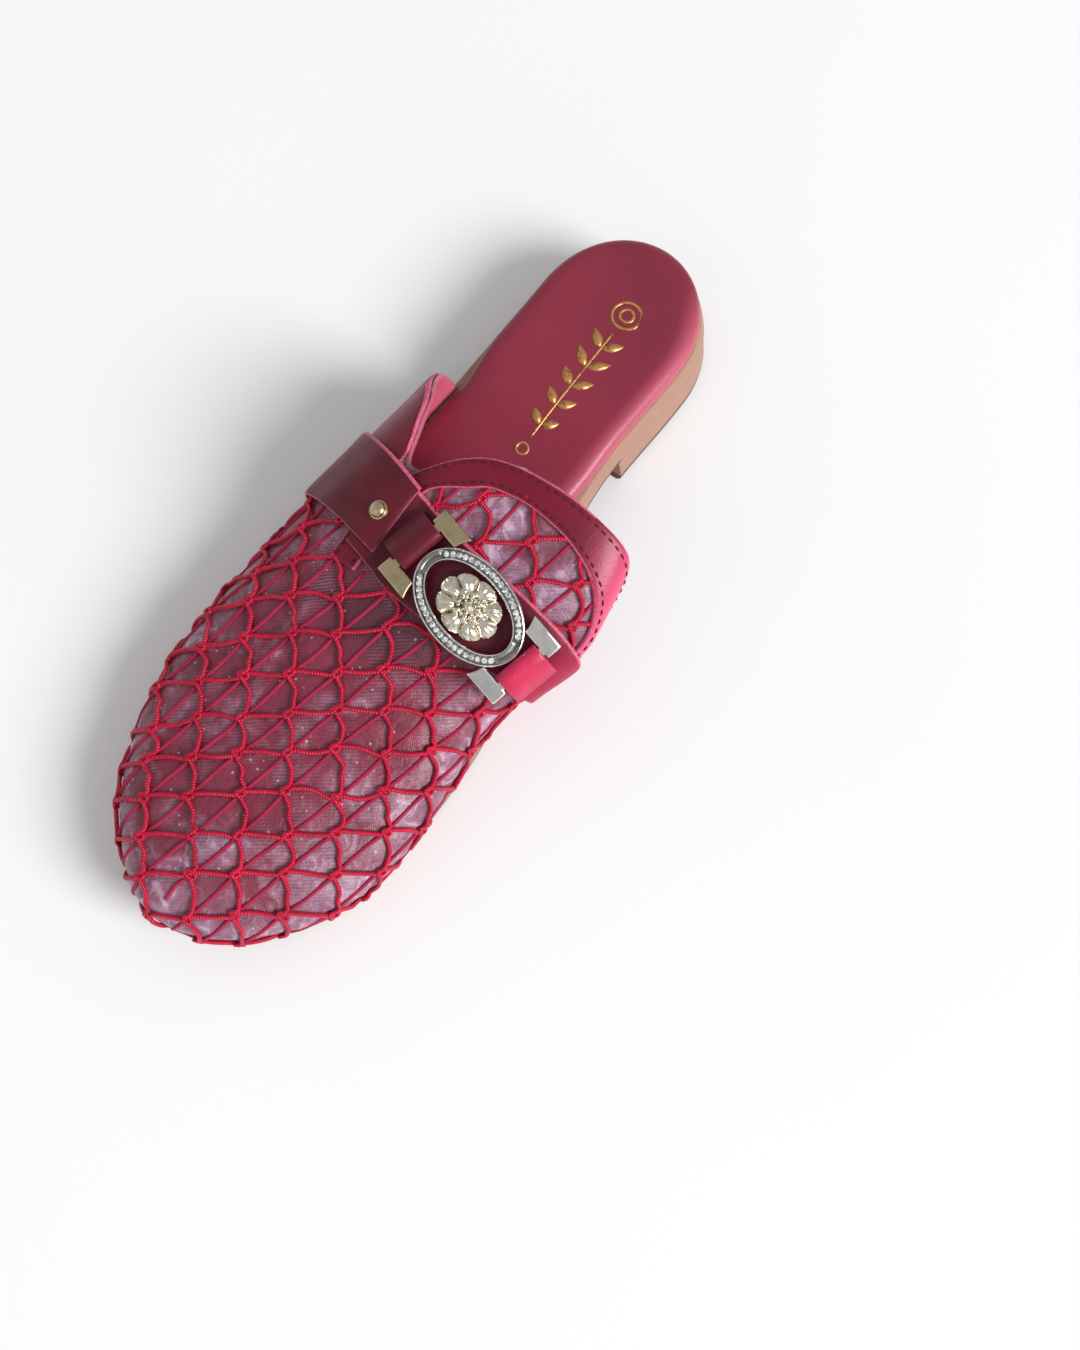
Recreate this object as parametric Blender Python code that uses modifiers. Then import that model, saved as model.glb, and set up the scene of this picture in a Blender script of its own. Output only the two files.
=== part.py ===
"""A backless slipper for the right foot: a low sole under a hollow netted upper with a
strap and a metal ornament. Metres, +Z up, toe towards -Y, inner side of the foot at +X.
The origin is on the floor at the middle of the box."""

import math

import bmesh
import bpy
import numpy
from mathutils import Vector

# Driving sizes
LENGTH = 0.250
BALL = 0.0905
HEEL_RISE = 0.0125
SOLE_THICK = 0.0085
TOE_SPRING = 0.0065
TOE_THIN = 0.0030
SOLE_FLARE = 0.0030
SOLE_SOFT = 0.0012
SOLE_LIP = 0.0006
SOLE_TUCK = 0.0006
HEEL_ROUND = 0.031
TOE_ROUND = 0.050
INSOLE_THICK = 0.0050
INSOLE_EDGE = 0.0032
INSOLE_SETBACK = 0.0008
INSTEP = 0.0400
RIDGE_IN = 0.0120
BULGE_IN = 0.0255
BULGE_OUT = 0.0055
TOE_PUFF = 0.0035
WALL = 0.0014
GAP = 0.0003
LEATHER = 0.0012
BAND_THICK = 0.0014
RING_LONG = 0.037
RING_WIDE = 0.025
RING_BAND = 0.0038
RING_THICK = 0.0028
BUCKLE_LIFT = 0.0056
BUCKLE_BEND = 5.5
LINK_WIDTH = 0.0245
LINK_FOOT = 0.0050
LINK_REACH = 0.0058
LINK_THICK = 0.0024
BAR = 0.0026
LOOP_WIDTH = 0.0136
LOOP_BACK = 0.0098
ROSETTE = 0.0168
ROSETTE_LONG = 0.0205
ROSETTE_RISE = 0.0042
PETALS = 8
PETAL_NOTCH = 0.13
PETAL_DIP = 0.22
RIVET_WIDTH = 0.0056
RIVET_RISE = 0.0021
RIVET_FOOT = 0.0002
CORD = 0.0013
CELL_WIDE = 0.0131
CELL_LONG = 0.0109
NET_TURN = math.radians(36.0)
NET_START = Vector((-0.0406, -0.0754))
NET_MARGIN = 0.0030

# Plan of the sole: share of the length from the heel, outer and inner half width in balls
PLAN = (
    (0.00, 0.286, 0.286),
    (0.12, 0.289, 0.286),
    (0.28, 0.306, 0.266),
    (0.36, 0.330, 0.280),
    (0.44, 0.374, 0.332),
    (0.55, 0.447, 0.412),
    (0.62, 0.474, 0.449),
    (0.70, 0.480, 0.468),
    (0.78, 0.461, 0.474),
    (0.85, 0.430, 0.465),
    (0.92, 0.396, 0.438),
    (0.97, 0.345, 0.412),
    (1.00, 0.300, 0.385),
)
# Underside of the sole: share of the length, height in heel rises
ARCH = (
    (0.00, 1.00),
    (0.24, 0.95),
    (0.40, 0.50),
    (0.56, 0.00),
    (0.80, 0.00),
)
# Ridge of the upper: share of the length, height in insteps, place in ridge offsets,
# bulge of the inner side and of the outer side in their own sizes
RIDGE = (
    (0.28, 1.02, 1.00, 0.75, 0.70),
    (0.40, 0.98, 1.05, 1.00, 0.90),
    (0.48, 0.90, 1.00, 0.95, 0.80),
    (0.56, 0.80, 0.90, 0.55, 0.50),
    (0.64, 0.68, 0.65, 0.20, 0.35),
    (0.74, 0.57, 0.40, 0.06, 0.20),
    (0.84, 0.50, 0.25, 0.00, 0.00),
    (1.00, 0.46, 0.20, 0.00, 0.00),
)
# Rim of the collar: climb from sole to ridge, and the share of the length where the rim
# lies on the outer and on the inner side
RIM = (
    (0.00, 0.300, 0.370),
    (0.15, 0.312, 0.378),
    (0.30, 0.330, 0.386),
    (0.42, 0.350, 0.390),
    (0.50, 0.368, 0.391),
    (0.60, 0.411, 0.391),
    (0.68, 0.450, 0.390),
    (0.78, 0.448, 0.388),
    (0.86, 0.411, 0.386),
    (1.00, 0.390, 0.390),
)
# The collar band from its outer end over the ridge to its inner end. Each row has the
# rear edge and the front edge, as a share of the length and a reach across the upper
BAND = (
    (0.578, -0.335, 0.578, -0.225),
    (0.530, -0.345, 0.530, -0.230),
    (0.490, -0.330, 0.495, -0.220),
    (0.455, -0.272, 0.464, -0.192),
    (0.416, -0.160, 0.440, -0.090),
    (0.399, -0.070, 0.427, -0.030),
    (0.390, 0.040, 0.421, 0.070),
    (0.387, 0.160, 0.424, 0.170),
    (0.389, 0.300, 0.433, 0.270),
    (0.393, 0.440, 0.446, 0.360),
    (0.405, 0.570, 0.462, 0.430),
    (0.436, 0.650, 0.482, 0.480),
    (0.475, 0.680, 0.505, 0.510),
    (0.520, 0.680, 0.535, 0.530),
)
# The inner strap and the outer strap: reach, the share of the length at the rear and at
# the front edge, and the lift off the upper in leathers
STRAP_INNER = (
    (-0.310, 0.463, 0.554, 1.75),
    (-0.220, 0.468, 0.563, 1.70),
    (-0.175, 0.472, 0.568, 0.50),
    (-0.130, 0.477, 0.574, 0.35),
    (0.000, 0.488, 0.586, 0.30),
    (0.250, 0.499, 0.592, 0.30),
    (0.400, 0.503, 0.586, 0.60),
    (0.490, 0.505, 0.580, 1.90),
    (0.600, 0.508, 0.574, 2.20),
    (0.700, 0.510, 0.571, 1.70),
    (0.780, 0.512, 0.569, 0.70),
    (0.960, 0.514, 0.567, 0.25),
)
STRAP_OUTER = (
    (-0.970, 0.420, 0.520, 1.60),
    (-0.800, 0.426, 0.523, 1.70),
    (-0.600, 0.436, 0.528, 1.80),
    (-0.400, 0.447, 0.536, 2.80),
    (-0.300, 0.455, 0.543, 3.15),
    (-0.200, 0.465, 0.551, 3.20),
)
# The leather quarter on the outer side: reach, and its front edge as a share of length
QUARTER = (
    (-0.970, 0.455),
    (-0.700, 0.462),
    (-0.500, 0.470),
    (-0.360, 0.480),
)
BUCKLE_AT = (0.540, 0.105)
BUCKLE_AIM = ((0.523, -0.070), (0.556, 0.380))
RIVET_AT = (0.508, -0.262)
ROUNDNESS = 2.2
PLAN_ROUNDNESS = 2.1
SPINE_START = 0.62
PUFF_FROM = 0.60
PUFF_FULL = 0.80
TUCK_FULL = 0.85
BREAST = 0.255
NARROWING = 0.08
NET_REACH = 0.93
BESIDE_BAND = 0.05
NEAR_RIDGE = 0.985
NEAR_SOLE = 0.03
NEAR_TOE = 0.998
STEP = 0.0005
NUDGE = 0.01
OUTER, INNER = -1, 1


def smooth(rows, column, at):
    """A cubic through one column of a table that never overshoots its rows."""
    xs = [row[0] for row in rows]
    ys = [row[column] for row in rows]
    at = min(max(at, xs[0]), xs[-1])
    last = len(xs) - 2
    i = max(j for j in range(last + 1) if xs[j] <= at)
    slopes = [(ys[j + 1] - ys[j]) / (xs[j + 1] - xs[j]) for j in range(last + 1)]

    def lean(j):
        if j == 0:
            return slopes[0]
        if j > last:
            return slopes[last]
        before, after = slopes[j - 1], slopes[j]
        if before * after <= 0:
            return 0.0
        return 2 * before * after / (before + after)

    step = xs[i + 1] - xs[i]
    t = (at - xs[i]) / step
    return (
        ys[i] * (1 + 2 * t) * (1 - t) ** 2
        + lean(i) * step * t * (1 - t) ** 2
        + ys[i + 1] * t * t * (3 - 2 * t)
        + lean(i + 1) * step * t * t * (t - 1)
    )


def blend(low, high, at):
    """0 below low, 1 above high, and a soft step between."""
    t = min(max((at - low) / (high - low), 0), 1)
    return t * t * (3 - 2 * t)


def half_width(side, s, inset=0.0):
    """Half width of the sole's plan at the distance s from the back of the heel."""
    span = LENGTH - 2 * inset
    share = min(max((s - inset) / span, 0), 1)
    back = max((HEEL_ROUND - share * LENGTH) / HEEL_ROUND, 0)
    front = max((share * LENGTH - LENGTH + TOE_ROUND) / TOE_ROUND, 0)
    closing = math.sqrt(max(1 - back ** PLAN_ROUNDNESS, 0))
    closing *= math.sqrt(max(1 - front ** PLAN_ROUNDNESS, 0))
    wide = smooth(PLAN, 1 if side == OUTER else 2, share) * BALL
    return (wide - inset) * closing


def sprung(s):
    """The toe's curve up: 0 as far as the ball and 1 at the tip."""
    flat_until = ARCH[-1][0]
    return (min(max(s / LENGTH - flat_until, 0) / (1 - flat_until), 1)) ** 2


def under(s):
    """Height of the sole's underside."""
    return smooth(ARCH, 1, s / LENGTH) * HEEL_RISE + TOE_SPRING * sprung(s)


def thickness(s):
    """The sole's thickness, which shrinks towards the toe."""
    return SOLE_THICK - TOE_THIN * sprung(s)


def over(s):
    """Height of the sole's upper face."""
    return under(s) + thickness(s)


def back_to_y(s):
    return LENGTH / 2 - s


def plan_ring(inset, height, first=0.0, last=1.0, count=30):
    """A loop round the sole's plan: out along the outer side and back along the inner."""
    points = []
    turn_from = math.acos(1 - 2 * first)
    turn_to = math.acos(1 - 2 * last)
    places = []
    for i in range(count + 1):
        turn = turn_from + (turn_to - turn_from) * i / count
        places.append(inset + (LENGTH - 2 * inset) * (1 - math.cos(turn)) / 2)
    for s in places:
        points.append((-half_width(OUTER, s, inset), s))
    inner = places[::-1]
    if last == 1.0:
        inner = inner[1:]
    if first == 0.0:
        inner = inner[:-1]
    for s in inner:
        points.append((half_width(INNER, s, inset), s))
    return [Vector((x, back_to_y(s), height(s))) for x, s in points]


def new_mesh(name, vertices, faces, collection, material):
    mesh = bpy.data.meshes.new(name)
    mesh.from_pydata(vertices, [], faces)
    mesh.update()
    mesh.shade_smooth()
    mesh.set_sharp_from_angle(angle=math.radians(40))
    part = bpy.data.objects.new(name, mesh)
    part.data.materials.append(material)
    collection.objects.link(part)
    return part


def ring_solid(name, rings, collection, material):
    """A solid through stacked loops of the sole's plan, bottom first. Each end is closed
    by strips that run across from the outer side to the inner."""
    size = len(rings[0])
    vertices = [point for ring in rings for point in ring]
    faces = []
    for k in range(len(rings) - 1):
        for i in range(size):
            j = (i + 1) % size
            faces.append((k * size + j, k * size + i, (k + 1) * size + i, (k + 1) * size + j))
    for base, flip in ((0, False), ((len(rings) - 1) * size, True)):
        low, high = 0, size
        while high - low > 1:
            face = [base + low, base + low + 1, base + high - 1, base + high % size]
            if low + 1 == high - 1:
                face.pop(2)
            elif high % size == low:
                face.pop(3)
            faces.append(tuple(face[::-1] if flip else face))
            low, high = low + 1, high - 1
    part = new_mesh(name, vertices, faces, collection, material)
    face_out(part.data)
    return part


def spine_place(s):
    """Where on the ridge the section that starts at s on the sole's edge ends."""
    start = SPINE_START * LENGTH
    if s <= start:
        return s
    rest = LENGTH - start
    return start + rest * 2 / math.pi * math.sin(math.pi / 2 * (s - start) / rest)


def skin(side, s, climb):
    """A point on the outer face of the upper: climb is 0 at the sole and 1 on the ridge."""
    ridge_s = spine_place(s)
    share = ridge_s / LENGTH
    ridge_x = smooth(RIDGE, 2, share) * RIDGE_IN
    rise = smooth(RIDGE, 1, share) * INSTEP
    bulge = smooth(RIDGE, 3, share) * BULGE_IN
    if side == OUTER:
        bulge = smooth(RIDGE, 4, share) * BULGE_OUT
    turn = climb * math.pi / 2
    inward = max(math.cos(turn), 0) ** (2 / ROUNDNESS)
    upward = math.sin(turn) ** (2 / ROUNDNESS)
    edge_x = side * half_width(side, s, GAP)
    puff = TOE_PUFF * math.sin(min(3 * turn, math.pi))
    x = ridge_x + (edge_x - ridge_x) * inward + side * bulge * math.sin(2 * turn)
    x += puff * blend(PUFF_FROM, PUFF_FULL, s / LENGTH) * edge_x * 2 / BALL
    along = ridge_s + (s - ridge_s) * inward + puff * blend(PUFF_FULL, 1.0, s / LENGTH)
    return Vector((x, back_to_y(along), over(along) + GAP + rise * upward))


def skin_normal(side, s, climb):
    """The way out of the upper, from small steps on its skin."""
    low, high = max(climb - NUDGE, 0.0), min(climb + NUDGE, 1.0)
    up = skin(side, s, high) - skin(side, s, low)
    along = skin(side, min(s + STEP, LENGTH - STEP), climb) - skin(side, s - STEP, climb)
    normal = up.cross(along) * side
    return normal.normalized()


def across(s, reach):
    """A point on the skin and its normal: reach runs from -1 at the outer edge of the
    sole over 0 on the ridge to 1 at the inner edge."""
    side = OUTER if reach < 0 else INNER
    climb = 1 - abs(reach)
    return skin(side, s, climb), skin_normal(side, s, min(climb, NEAR_RIDGE))


def lifted(s, reach, lift):
    point, normal = across(s, reach)
    return point + normal * lift


def strip(name, table, count, wide, place, collection, material):
    """A strip along a table's rows. place(values, across) gives the lower and the upper
    point at a share across from the rear edge to the front edge."""
    lower, upper = [], []
    places = [row[0] for row in table]
    for r in range(count + 1):
        at = places[0] + (places[-1] - places[0]) * r / count
        values = [smooth(table, c, at) for c in range(len(table[0]))]
        for c in range(wide + 1):
            low, high = place(values, c / wide)
            lower.append(low)
            upper.append(high)
    return slab(name, lower, upper, wide + 1, collection, material)


def rolled(share_across, amount):
    """How far a strip's upper face drops towards its two edges."""
    edge = abs(2 * share_across - 1)
    return amount * edge ** 6


def slab(name, lower, upper, wide, collection, material):
    """A thin solid between two like grids of points, wide points to a row."""
    count = len(lower)
    long = count // wide
    faces = []
    for r in range(long - 1):
        for c in range(wide - 1):
            a = r * wide + c
            quad = (a, a + 1, a + 1 + wide, a + wide)
            faces.append(quad)
            faces.append(tuple(count + v for v in quad[::-1]))
    border = [c for c in range(wide)]
    border += [r * wide + wide - 1 for r in range(1, long)]
    border += [(long - 1) * wide + c for c in range(wide - 2, -1, -1)]
    border += [r * wide for r in range(long - 2, 0, -1)]
    for i, a in enumerate(border):
        b = border[(i + 1) % len(border)]
        faces.append((b, a, count + a, count + b))
    part = new_mesh(name, lower + upper, faces, collection, material)
    face_out(part.data)
    return part


def face_out(mesh):
    """Turns a closed mesh so that its faces point out."""
    shape = bmesh.new()
    shape.from_mesh(mesh)
    bmesh.ops.recalc_face_normals(shape, faces=shape.faces)
    shape.to_mesh(mesh)
    shape.free()


def surface(name, colour, roughness, metallic=0.0):
    material = bpy.data.materials.new(name)
    material.use_nodes = True
    shader = material.node_tree.nodes["Principled BSDF"]
    shader.inputs["Base Color"].default_value = (*colour, 1.0)
    shader.inputs["Roughness"].default_value = roughness
    shader.inputs["Metallic"].default_value = metallic
    return material


def tuck(point):
    """Where the sole's side is drawn in under the upper: not at all behind the ball."""
    return blend(PUFF_FROM, TUCK_FULL, (LENGTH / 2 - point.y) / LENGTH)


def make_sole(parts):
    """The full sole: flat under the ball, thin and sprung at the toe, flared behind."""
    tan = surface("sole_tan", (0.62, 0.42, 0.30), 0.6)
    steps = (
        (SOLE_SOFT - SOLE_FLARE / 2, 0.0),
        (-SOLE_FLARE / 2, 0.12),
        (0.0, 0.92),
        (SOLE_LIP, 1.0),
    )
    rings = []
    for inset, share in steps:
        def height(s, share=share):
            return under(s) + thickness(s) * share

        flared, tucked = plan_ring(inset, height), plan_ring(SOLE_TUCK, height)
        rings.append([a.lerp(b, tuck(a)) for a, b in zip(flared, tucked)])
    return ring_solid("sole", rings, parts, tan)


def make_heel(parts):
    """The low heel block: it stands on the floor and follows the sole's underside."""
    tan = surface("heel_tan", (0.60, 0.40, 0.29), 0.6)
    steps = (
        (SOLE_SOFT - SOLE_FLARE, 0.0),
        (-SOLE_FLARE, 0.10),
        (-SOLE_FLARE / 2, 1.0),
    )
    rings = []
    for inset, share in steps:
        rings.append(plan_ring(
            inset,
            lambda s, share=share: (under(s) - GAP) * share,
            last=BREAST, count=14,
        ))
    return ring_solid("heel", rings, parts, tan)


def insole_inset(side, s):
    """The insole reaches the sole's edge behind and stays inside the upper in front."""
    rim = RIM[0][1] if side == OUTER else RIM[0][2]
    covered = blend((rim - NARROWING) * LENGTH, rim * LENGTH, s)
    return INSOLE_SETBACK + (WALL + INSOLE_SETBACK) * covered


def make_insole(parts):
    """The padded insole with a rolled edge."""
    red = surface("insole_red", (0.24, 0.02, 0.045), 0.45)
    steps = (
        (0.12, 0.0),
        (0.0, 0.30),
        (0.10, 0.62),
        (0.38, 0.88),
        (1.0, 1.0),
    )
    rings = []
    for pull, share in steps:
        ring = []
        for point in plan_ring(0.0, over):
            s = LENGTH / 2 - point.y
            side = OUTER if point.x < 0 else INNER
            inset = insole_inset(side, s) + pull * INSOLE_EDGE
            along = inset + (LENGTH - 2 * inset) * s / LENGTH
            x = side * half_width(side, along, inset)
            height = over(along) + GAP + INSOLE_THICK * share
            ring.append(Vector((x, back_to_y(along), height)))
        rings.append(ring)
    return ring_solid("insole", rings, parts, red)


def make_upper(parts):
    """The hollow upper: one wall from rim to toe, open at the collar and underneath."""
    mauve = surface("upper_mauve", (0.36, 0.20, 0.27), 0.35)
    long, high = 22, 12
    index = {}
    vertices = []

    def shared(side, i, j):
        """The toe line and the ridge belong to both sides."""
        return (0 if i == 0 or j == high else side, i, j)

    for side in (OUTER, INNER):
        for i in range(long + 1):
            spread = 1 - math.cos(i / long * math.pi / 2)
            for j in range(high + 1):
                key = shared(side, i, j)
                if key in index:
                    continue
                rim = smooth(RIM, 1 if side == OUTER else 2, j / high) * LENGTH
                front = LENGTH - GAP
                index[key] = len(vertices)
                vertices.append(skin(side, front - (front - rim) * spread, j / high))
    faces = []
    for side in (OUTER, INNER):
        for i in range(long):
            for j in range(high):
                corners = ((i, j), (i + 1, j), (i + 1, j + 1), (i, j + 1))
                quad = [index[shared(side, a, b)] for a, b in corners]
                faces.append(tuple(quad if side == INNER else quad[::-1]))
    part = new_mesh("upper", vertices, faces, parts, mauve)
    wall = part.modifiers.new("wall", "SOLIDIFY")
    wall.thickness = WALL
    wall.offset = -1.0
    wall.use_even_offset = False
    return part


def make_quarter(parts):
    """The leather wing on the outer side, from the collar rim to under the strap."""
    red = surface("quarter_red", (0.45, 0.03, 0.09), 0.4)

    def place(values, at):
        reach = values[0]
        rim = smooth(RIM, 1, 1 - abs(reach)) + 0.003
        share = rim + (values[1] - rim) * at
        return (
            lifted(share * LENGTH, reach, GAP),
            lifted(share * LENGTH, reach, GAP + LEATHER),
        )

    return strip("quarter_outer", QUARTER, 12, 4, place, parts, red)


def make_band(parts):
    """The stitched collar band, an arch of leather along the tongue's edge."""
    red = surface("band_red", (0.50, 0.03, 0.09), 0.35)
    rows = [(float(i), *row) for i, row in enumerate(BAND)]

    def place(values, at):
        share = values[1] + (values[3] - values[1]) * at
        reach = values[2] + (values[4] - values[2]) * at
        thick = BAND_THICK - rolled(at, LEATHER / 3)
        return (
            lifted(share * LENGTH, reach, GAP),
            lifted(share * LENGTH, reach, GAP + thick),
        )

    return strip("collar_band", rows, 44, 4, place, parts, red)


def make_strap(name, table, count, parts):
    """A flat leather strap across the upper."""
    red = surface(name + "_red", (0.30, 0.02, 0.06), 0.38)

    def place(values, at):
        share = values[1] + (values[2] - values[1]) * at
        low = GAP + values[3] * LEATHER
        thick = LEATHER - rolled(at, LEATHER / 4)
        return (
            lifted(share * LENGTH, values[0], low),
            lifted(share * LENGTH, values[0], low + thick),
        )

    return strip(name, table, count, 6, place, parts, red)


class Buckle:
    """The frame of the ornament: a runs to the inner side, t towards the toe, n out."""

    def __init__(self):
        share, reach = BUCKLE_AT
        start = lifted(BUCKLE_AIM[0][0] * LENGTH, BUCKLE_AIM[0][1], 0)
        end = lifted(BUCKLE_AIM[1][0] * LENGTH, BUCKLE_AIM[1][1], 0)
        point, normal = across(share * LENGTH, reach)
        self.long = (end - start).normalized()
        self.out = (normal - self.long * normal.dot(self.long)).normalized()
        self.toe = self.long.cross(self.out)
        if self.toe.y > 0:
            self.toe = -self.toe
        self.origin = point + self.out * BUCKLE_LIFT

    def at(self, a, t, n):
        """The casting bends down towards both ends to follow the instep."""
        drop = BUCKLE_BEND * a * a
        return self.origin + self.long * a + self.toe * t + self.out * (n - drop)


def prism(name, outline, low, high, frame, collection, material):
    """A flat shape with a thickness, in the ornament's frame."""
    size = len(outline)
    vertices = [frame.at(a, t, n) for n in (low, high) for a, t in outline]
    faces = [tuple(range(size))[::-1], tuple(range(size, 2 * size))]
    for i in range(size):
        j = (i + 1) % size
        faces.append((i, j, size + j, size + i))
    part = new_mesh(name, vertices, faces, collection, material)
    face_out(part.data)
    return part


def make_ring(parts, frame):
    """The oval ring: an ellipse swept with a rounded section."""
    silver = surface("ring_silver", (0.75, 0.72, 0.66), 0.25, 1.0)
    section = ((-0.5, 0.0), (-0.5, 0.55), (-0.25, 0.95), (0.25, 0.95), (0.5, 0.55), (0.5, 0.0))
    turns = 48
    vertices, faces = [], []
    for i in range(turns):
        turn = 2 * math.pi * i / turns
        for across_share, rise in section:
            half_long = RING_LONG / 2 - RING_BAND / 2 + across_share * RING_BAND
            half_wide = RING_WIDE / 2 - RING_BAND / 2 + across_share * RING_BAND
            a, t = half_long * math.cos(turn), half_wide * math.sin(turn)
            vertices.append(frame.at(a, t, rise * RING_THICK))
    size = len(section)
    for i in range(turns):
        k = (i + 1) % turns
        for j in range(size):
            m = (j + 1) % size
            faces.append((i * size + j, k * size + j, k * size + m, i * size + m))
    part = new_mesh("buckle_ring", vertices, faces, parts, silver)
    face_out(part.data)
    return part


def make_link(parts, frame, side, name):
    """A link plate beside the ring: two feet and the bar that the leather loop wraps."""
    brass = surface(name + "_brass", (0.70, 0.56, 0.30), 0.28, 1.0)
    tip = RING_LONG / 2
    half = LINK_WIDTH / 2
    inner = half - LINK_FOOT
    bar_near = tip + GAP + LEATHER + 2 * GAP
    bar_far = bar_near + BAR
    foot_near = ring_edge(inner) + 2 * GAP
    foot_far = tip + LINK_REACH
    corner_near = ring_edge(half - LINK_FOOT / 4) + 4 * GAP
    outline = [
        (foot_near, inner), (corner_near, half), (foot_far, half), (foot_far, inner),
        (bar_far, inner), (bar_far, -inner), (foot_far, -inner), (foot_far, -half),
        (corner_near, -half), (foot_near, -inner), (bar_near, -inner), (bar_near, inner),
    ]
    outline = [(side * a, t) for a, t in outline]
    part = prism(name, outline, 0.0, LINK_THICK, frame, parts, brass)
    soft = part.modifiers.new("edges", "BEVEL")
    soft.width = 0.0003
    soft.segments = 1
    soft.limit_method = "ANGLE"
    soft.angle_limit = math.radians(40)
    return part


def ring_edge(t):
    """Half length of the ring's outline at the distance t from its long axis."""
    share = min(abs(t) / (RING_WIDE / 2), 1)
    return RING_LONG / 2 * math.sqrt(1 - share * share)


def make_loop(parts, frame, side, name):
    """The leather loop round a link's bar: a closed strap end with the bar in its eye."""
    red = surface(name + "_red", (0.42, 0.02, 0.08), 0.35)
    tip = RING_LONG / 2 + GAP
    bar_near = tip + LEATHER + 2 * GAP
    eye_high = LINK_THICK + 2 * GAP
    eye_low = -2 * GAP
    far = tip + LOOP_BACK
    middle = (eye_high + eye_low) / 2
    radius = (eye_high - eye_low) / 2
    centre = tip + LEATHER + radius
    turns = [math.pi * (0.5 + i / 7) for i in range(8)]

    def bend(reach):
        return [(centre + reach * math.cos(q), middle + reach * math.sin(q)) for q in turns]

    back = bar_near + BAR + 2 * GAP
    low = eye_low - LEATHER
    rim = bend(radius + LEATHER)
    rim += [(far, low), (far, low + 2 * LEATHER + GAP), (back, eye_high + LEATHER)]
    hole = bend(radius) + [(back, eye_low), (back, middle), (back, eye_high)]
    size = len(rim)
    vertices, faces = [], []
    for t in (-LOOP_WIDTH / 2, LOOP_WIDTH / 2):
        vertices += [frame.at(side * a, t, n) for a, n in rim]
        vertices += [frame.at(side * a, t, n) for a, n in hole]
    for i in range(size):
        j = (i + 1) % size
        faces.append((i, j, 2 * size + j, 2 * size + i))
        faces.append((size + i, size + j, 3 * size + j, 3 * size + i))
        faces.append((i, j, size + j, size + i))
        faces.append((2 * size + i, 2 * size + j, 3 * size + j, 3 * size + i))
    part = new_mesh(name, vertices, faces, parts, red)
    face_out(part.data)
    return part


def make_rosette(parts, frame):
    """The relief in the ring: an oval flower with a raised heart."""
    gold = surface("rosette_gold", (0.78, 0.70, 0.52), 0.3, 1.0)
    profile = ((0.10, 1.0), (0.26, 0.92), (0.34, 0.62), (0.60, 0.86), (0.84, 0.66), (1.0, 0.30))
    sectors = PETALS * 6

    def circle(share, rise):
        """A loop of the relief, notched and dipped between the petals."""
        points = []
        for i in range(sectors):
            turn = 2 * math.pi * i / sectors
            between = 1 - math.sqrt(abs(math.cos(PETALS * turn / 2)))
            reach = share * ROSETTE / 2 * (1 - PETAL_NOTCH * share * between)
            lift = ROSETTE_RISE * max(rise - PETAL_DIP * blend(0.34, 0.6, share) * between, 0)
            stretched = reach * ROSETTE_LONG / ROSETTE
            points.append(frame.at(stretched * math.cos(turn), reach * math.sin(turn), lift))
        return points

    loops = [circle(share, rise) for share, rise in profile] + [circle(1.0, 0.0)]
    vertices = [frame.at(0, 0, ROSETTE_RISE), frame.at(0, 0, 0)]
    vertices += [point for loop in loops for point in loop]
    base = 2 + (len(loops) - 1) * sectors
    faces = []
    for i in range(sectors):
        j = (i + 1) % sectors
        faces.append((0, 2 + i, 2 + j))
        faces.append((1, base + j, base + i))
        for row in range(2, base, sectors):
            faces.append((row + i, row + sectors + i, row + sectors + j, row + j))
    part = new_mesh("rosette", vertices, faces, parts, gold)
    face_out(part.data)
    return part


def make_rivet(parts):
    """The dome rivet of the outer strap, a turned shape."""
    brass = surface("rivet_brass", (0.72, 0.58, 0.32), 0.25, 1.0)
    share, reach = RIVET_AT
    lift = GAP + smooth(STRAP_OUTER, 3, reach) * LEATHER + LEATHER + 2 * GAP
    point, normal = across(share * LENGTH, reach)
    radius = RIVET_WIDTH / 2
    dome = RIVET_RISE - RIVET_FOOT
    steps = 6
    arc = [(0.0, 0.0, RIVET_RISE)]
    for i in range(1, steps + 1):
        turn = math.pi / 2 * i / steps
        arc.append((radius * math.sin(turn), 0.0, RIVET_FOOT + dome * math.cos(turn)))
    arc += [(radius, 0.0, 0.0), (0.0, 0.0, 0.0)]
    outline = bpy.data.meshes.new("rivet")
    outline.from_pydata(arc, [(i, i + 1) for i in range(len(arc) - 1)], [])
    part = bpy.data.objects.new("rivet", outline)
    outline.materials.append(brass)
    parts.objects.link(part)
    turned = part.modifiers.new("turn", "SCREW")
    turned.steps = 20
    turned.render_steps = 20
    turned.use_merge_vertices = True
    turned.merge_threshold = 0.00001
    part.location = point + normal * lift
    part.rotation_mode = "QUATERNION"
    part.rotation_quaternion = normal.to_track_quat("Z", "Y")
    return part


def unrolled(side, s, climb):
    """The place of a skin point on the upper laid flat: its distance from the ridge is
    kept, in the direction of the section it lies on."""
    ridge = skin(side, s, 1.0)
    edge = skin(side, s, 0.0)
    way = Vector((edge.x - ridge.x, edge.y - ridge.y))
    way.normalize()
    steps = 6
    length = 0.0
    last = ridge
    for i in range(1, steps + 1):
        point = skin(side, s, 1 - (1 - climb) * i / steps)
        length += (point - last).length
        last = point
    return Vector((ridge.x, ridge.y)) + way * length


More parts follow.
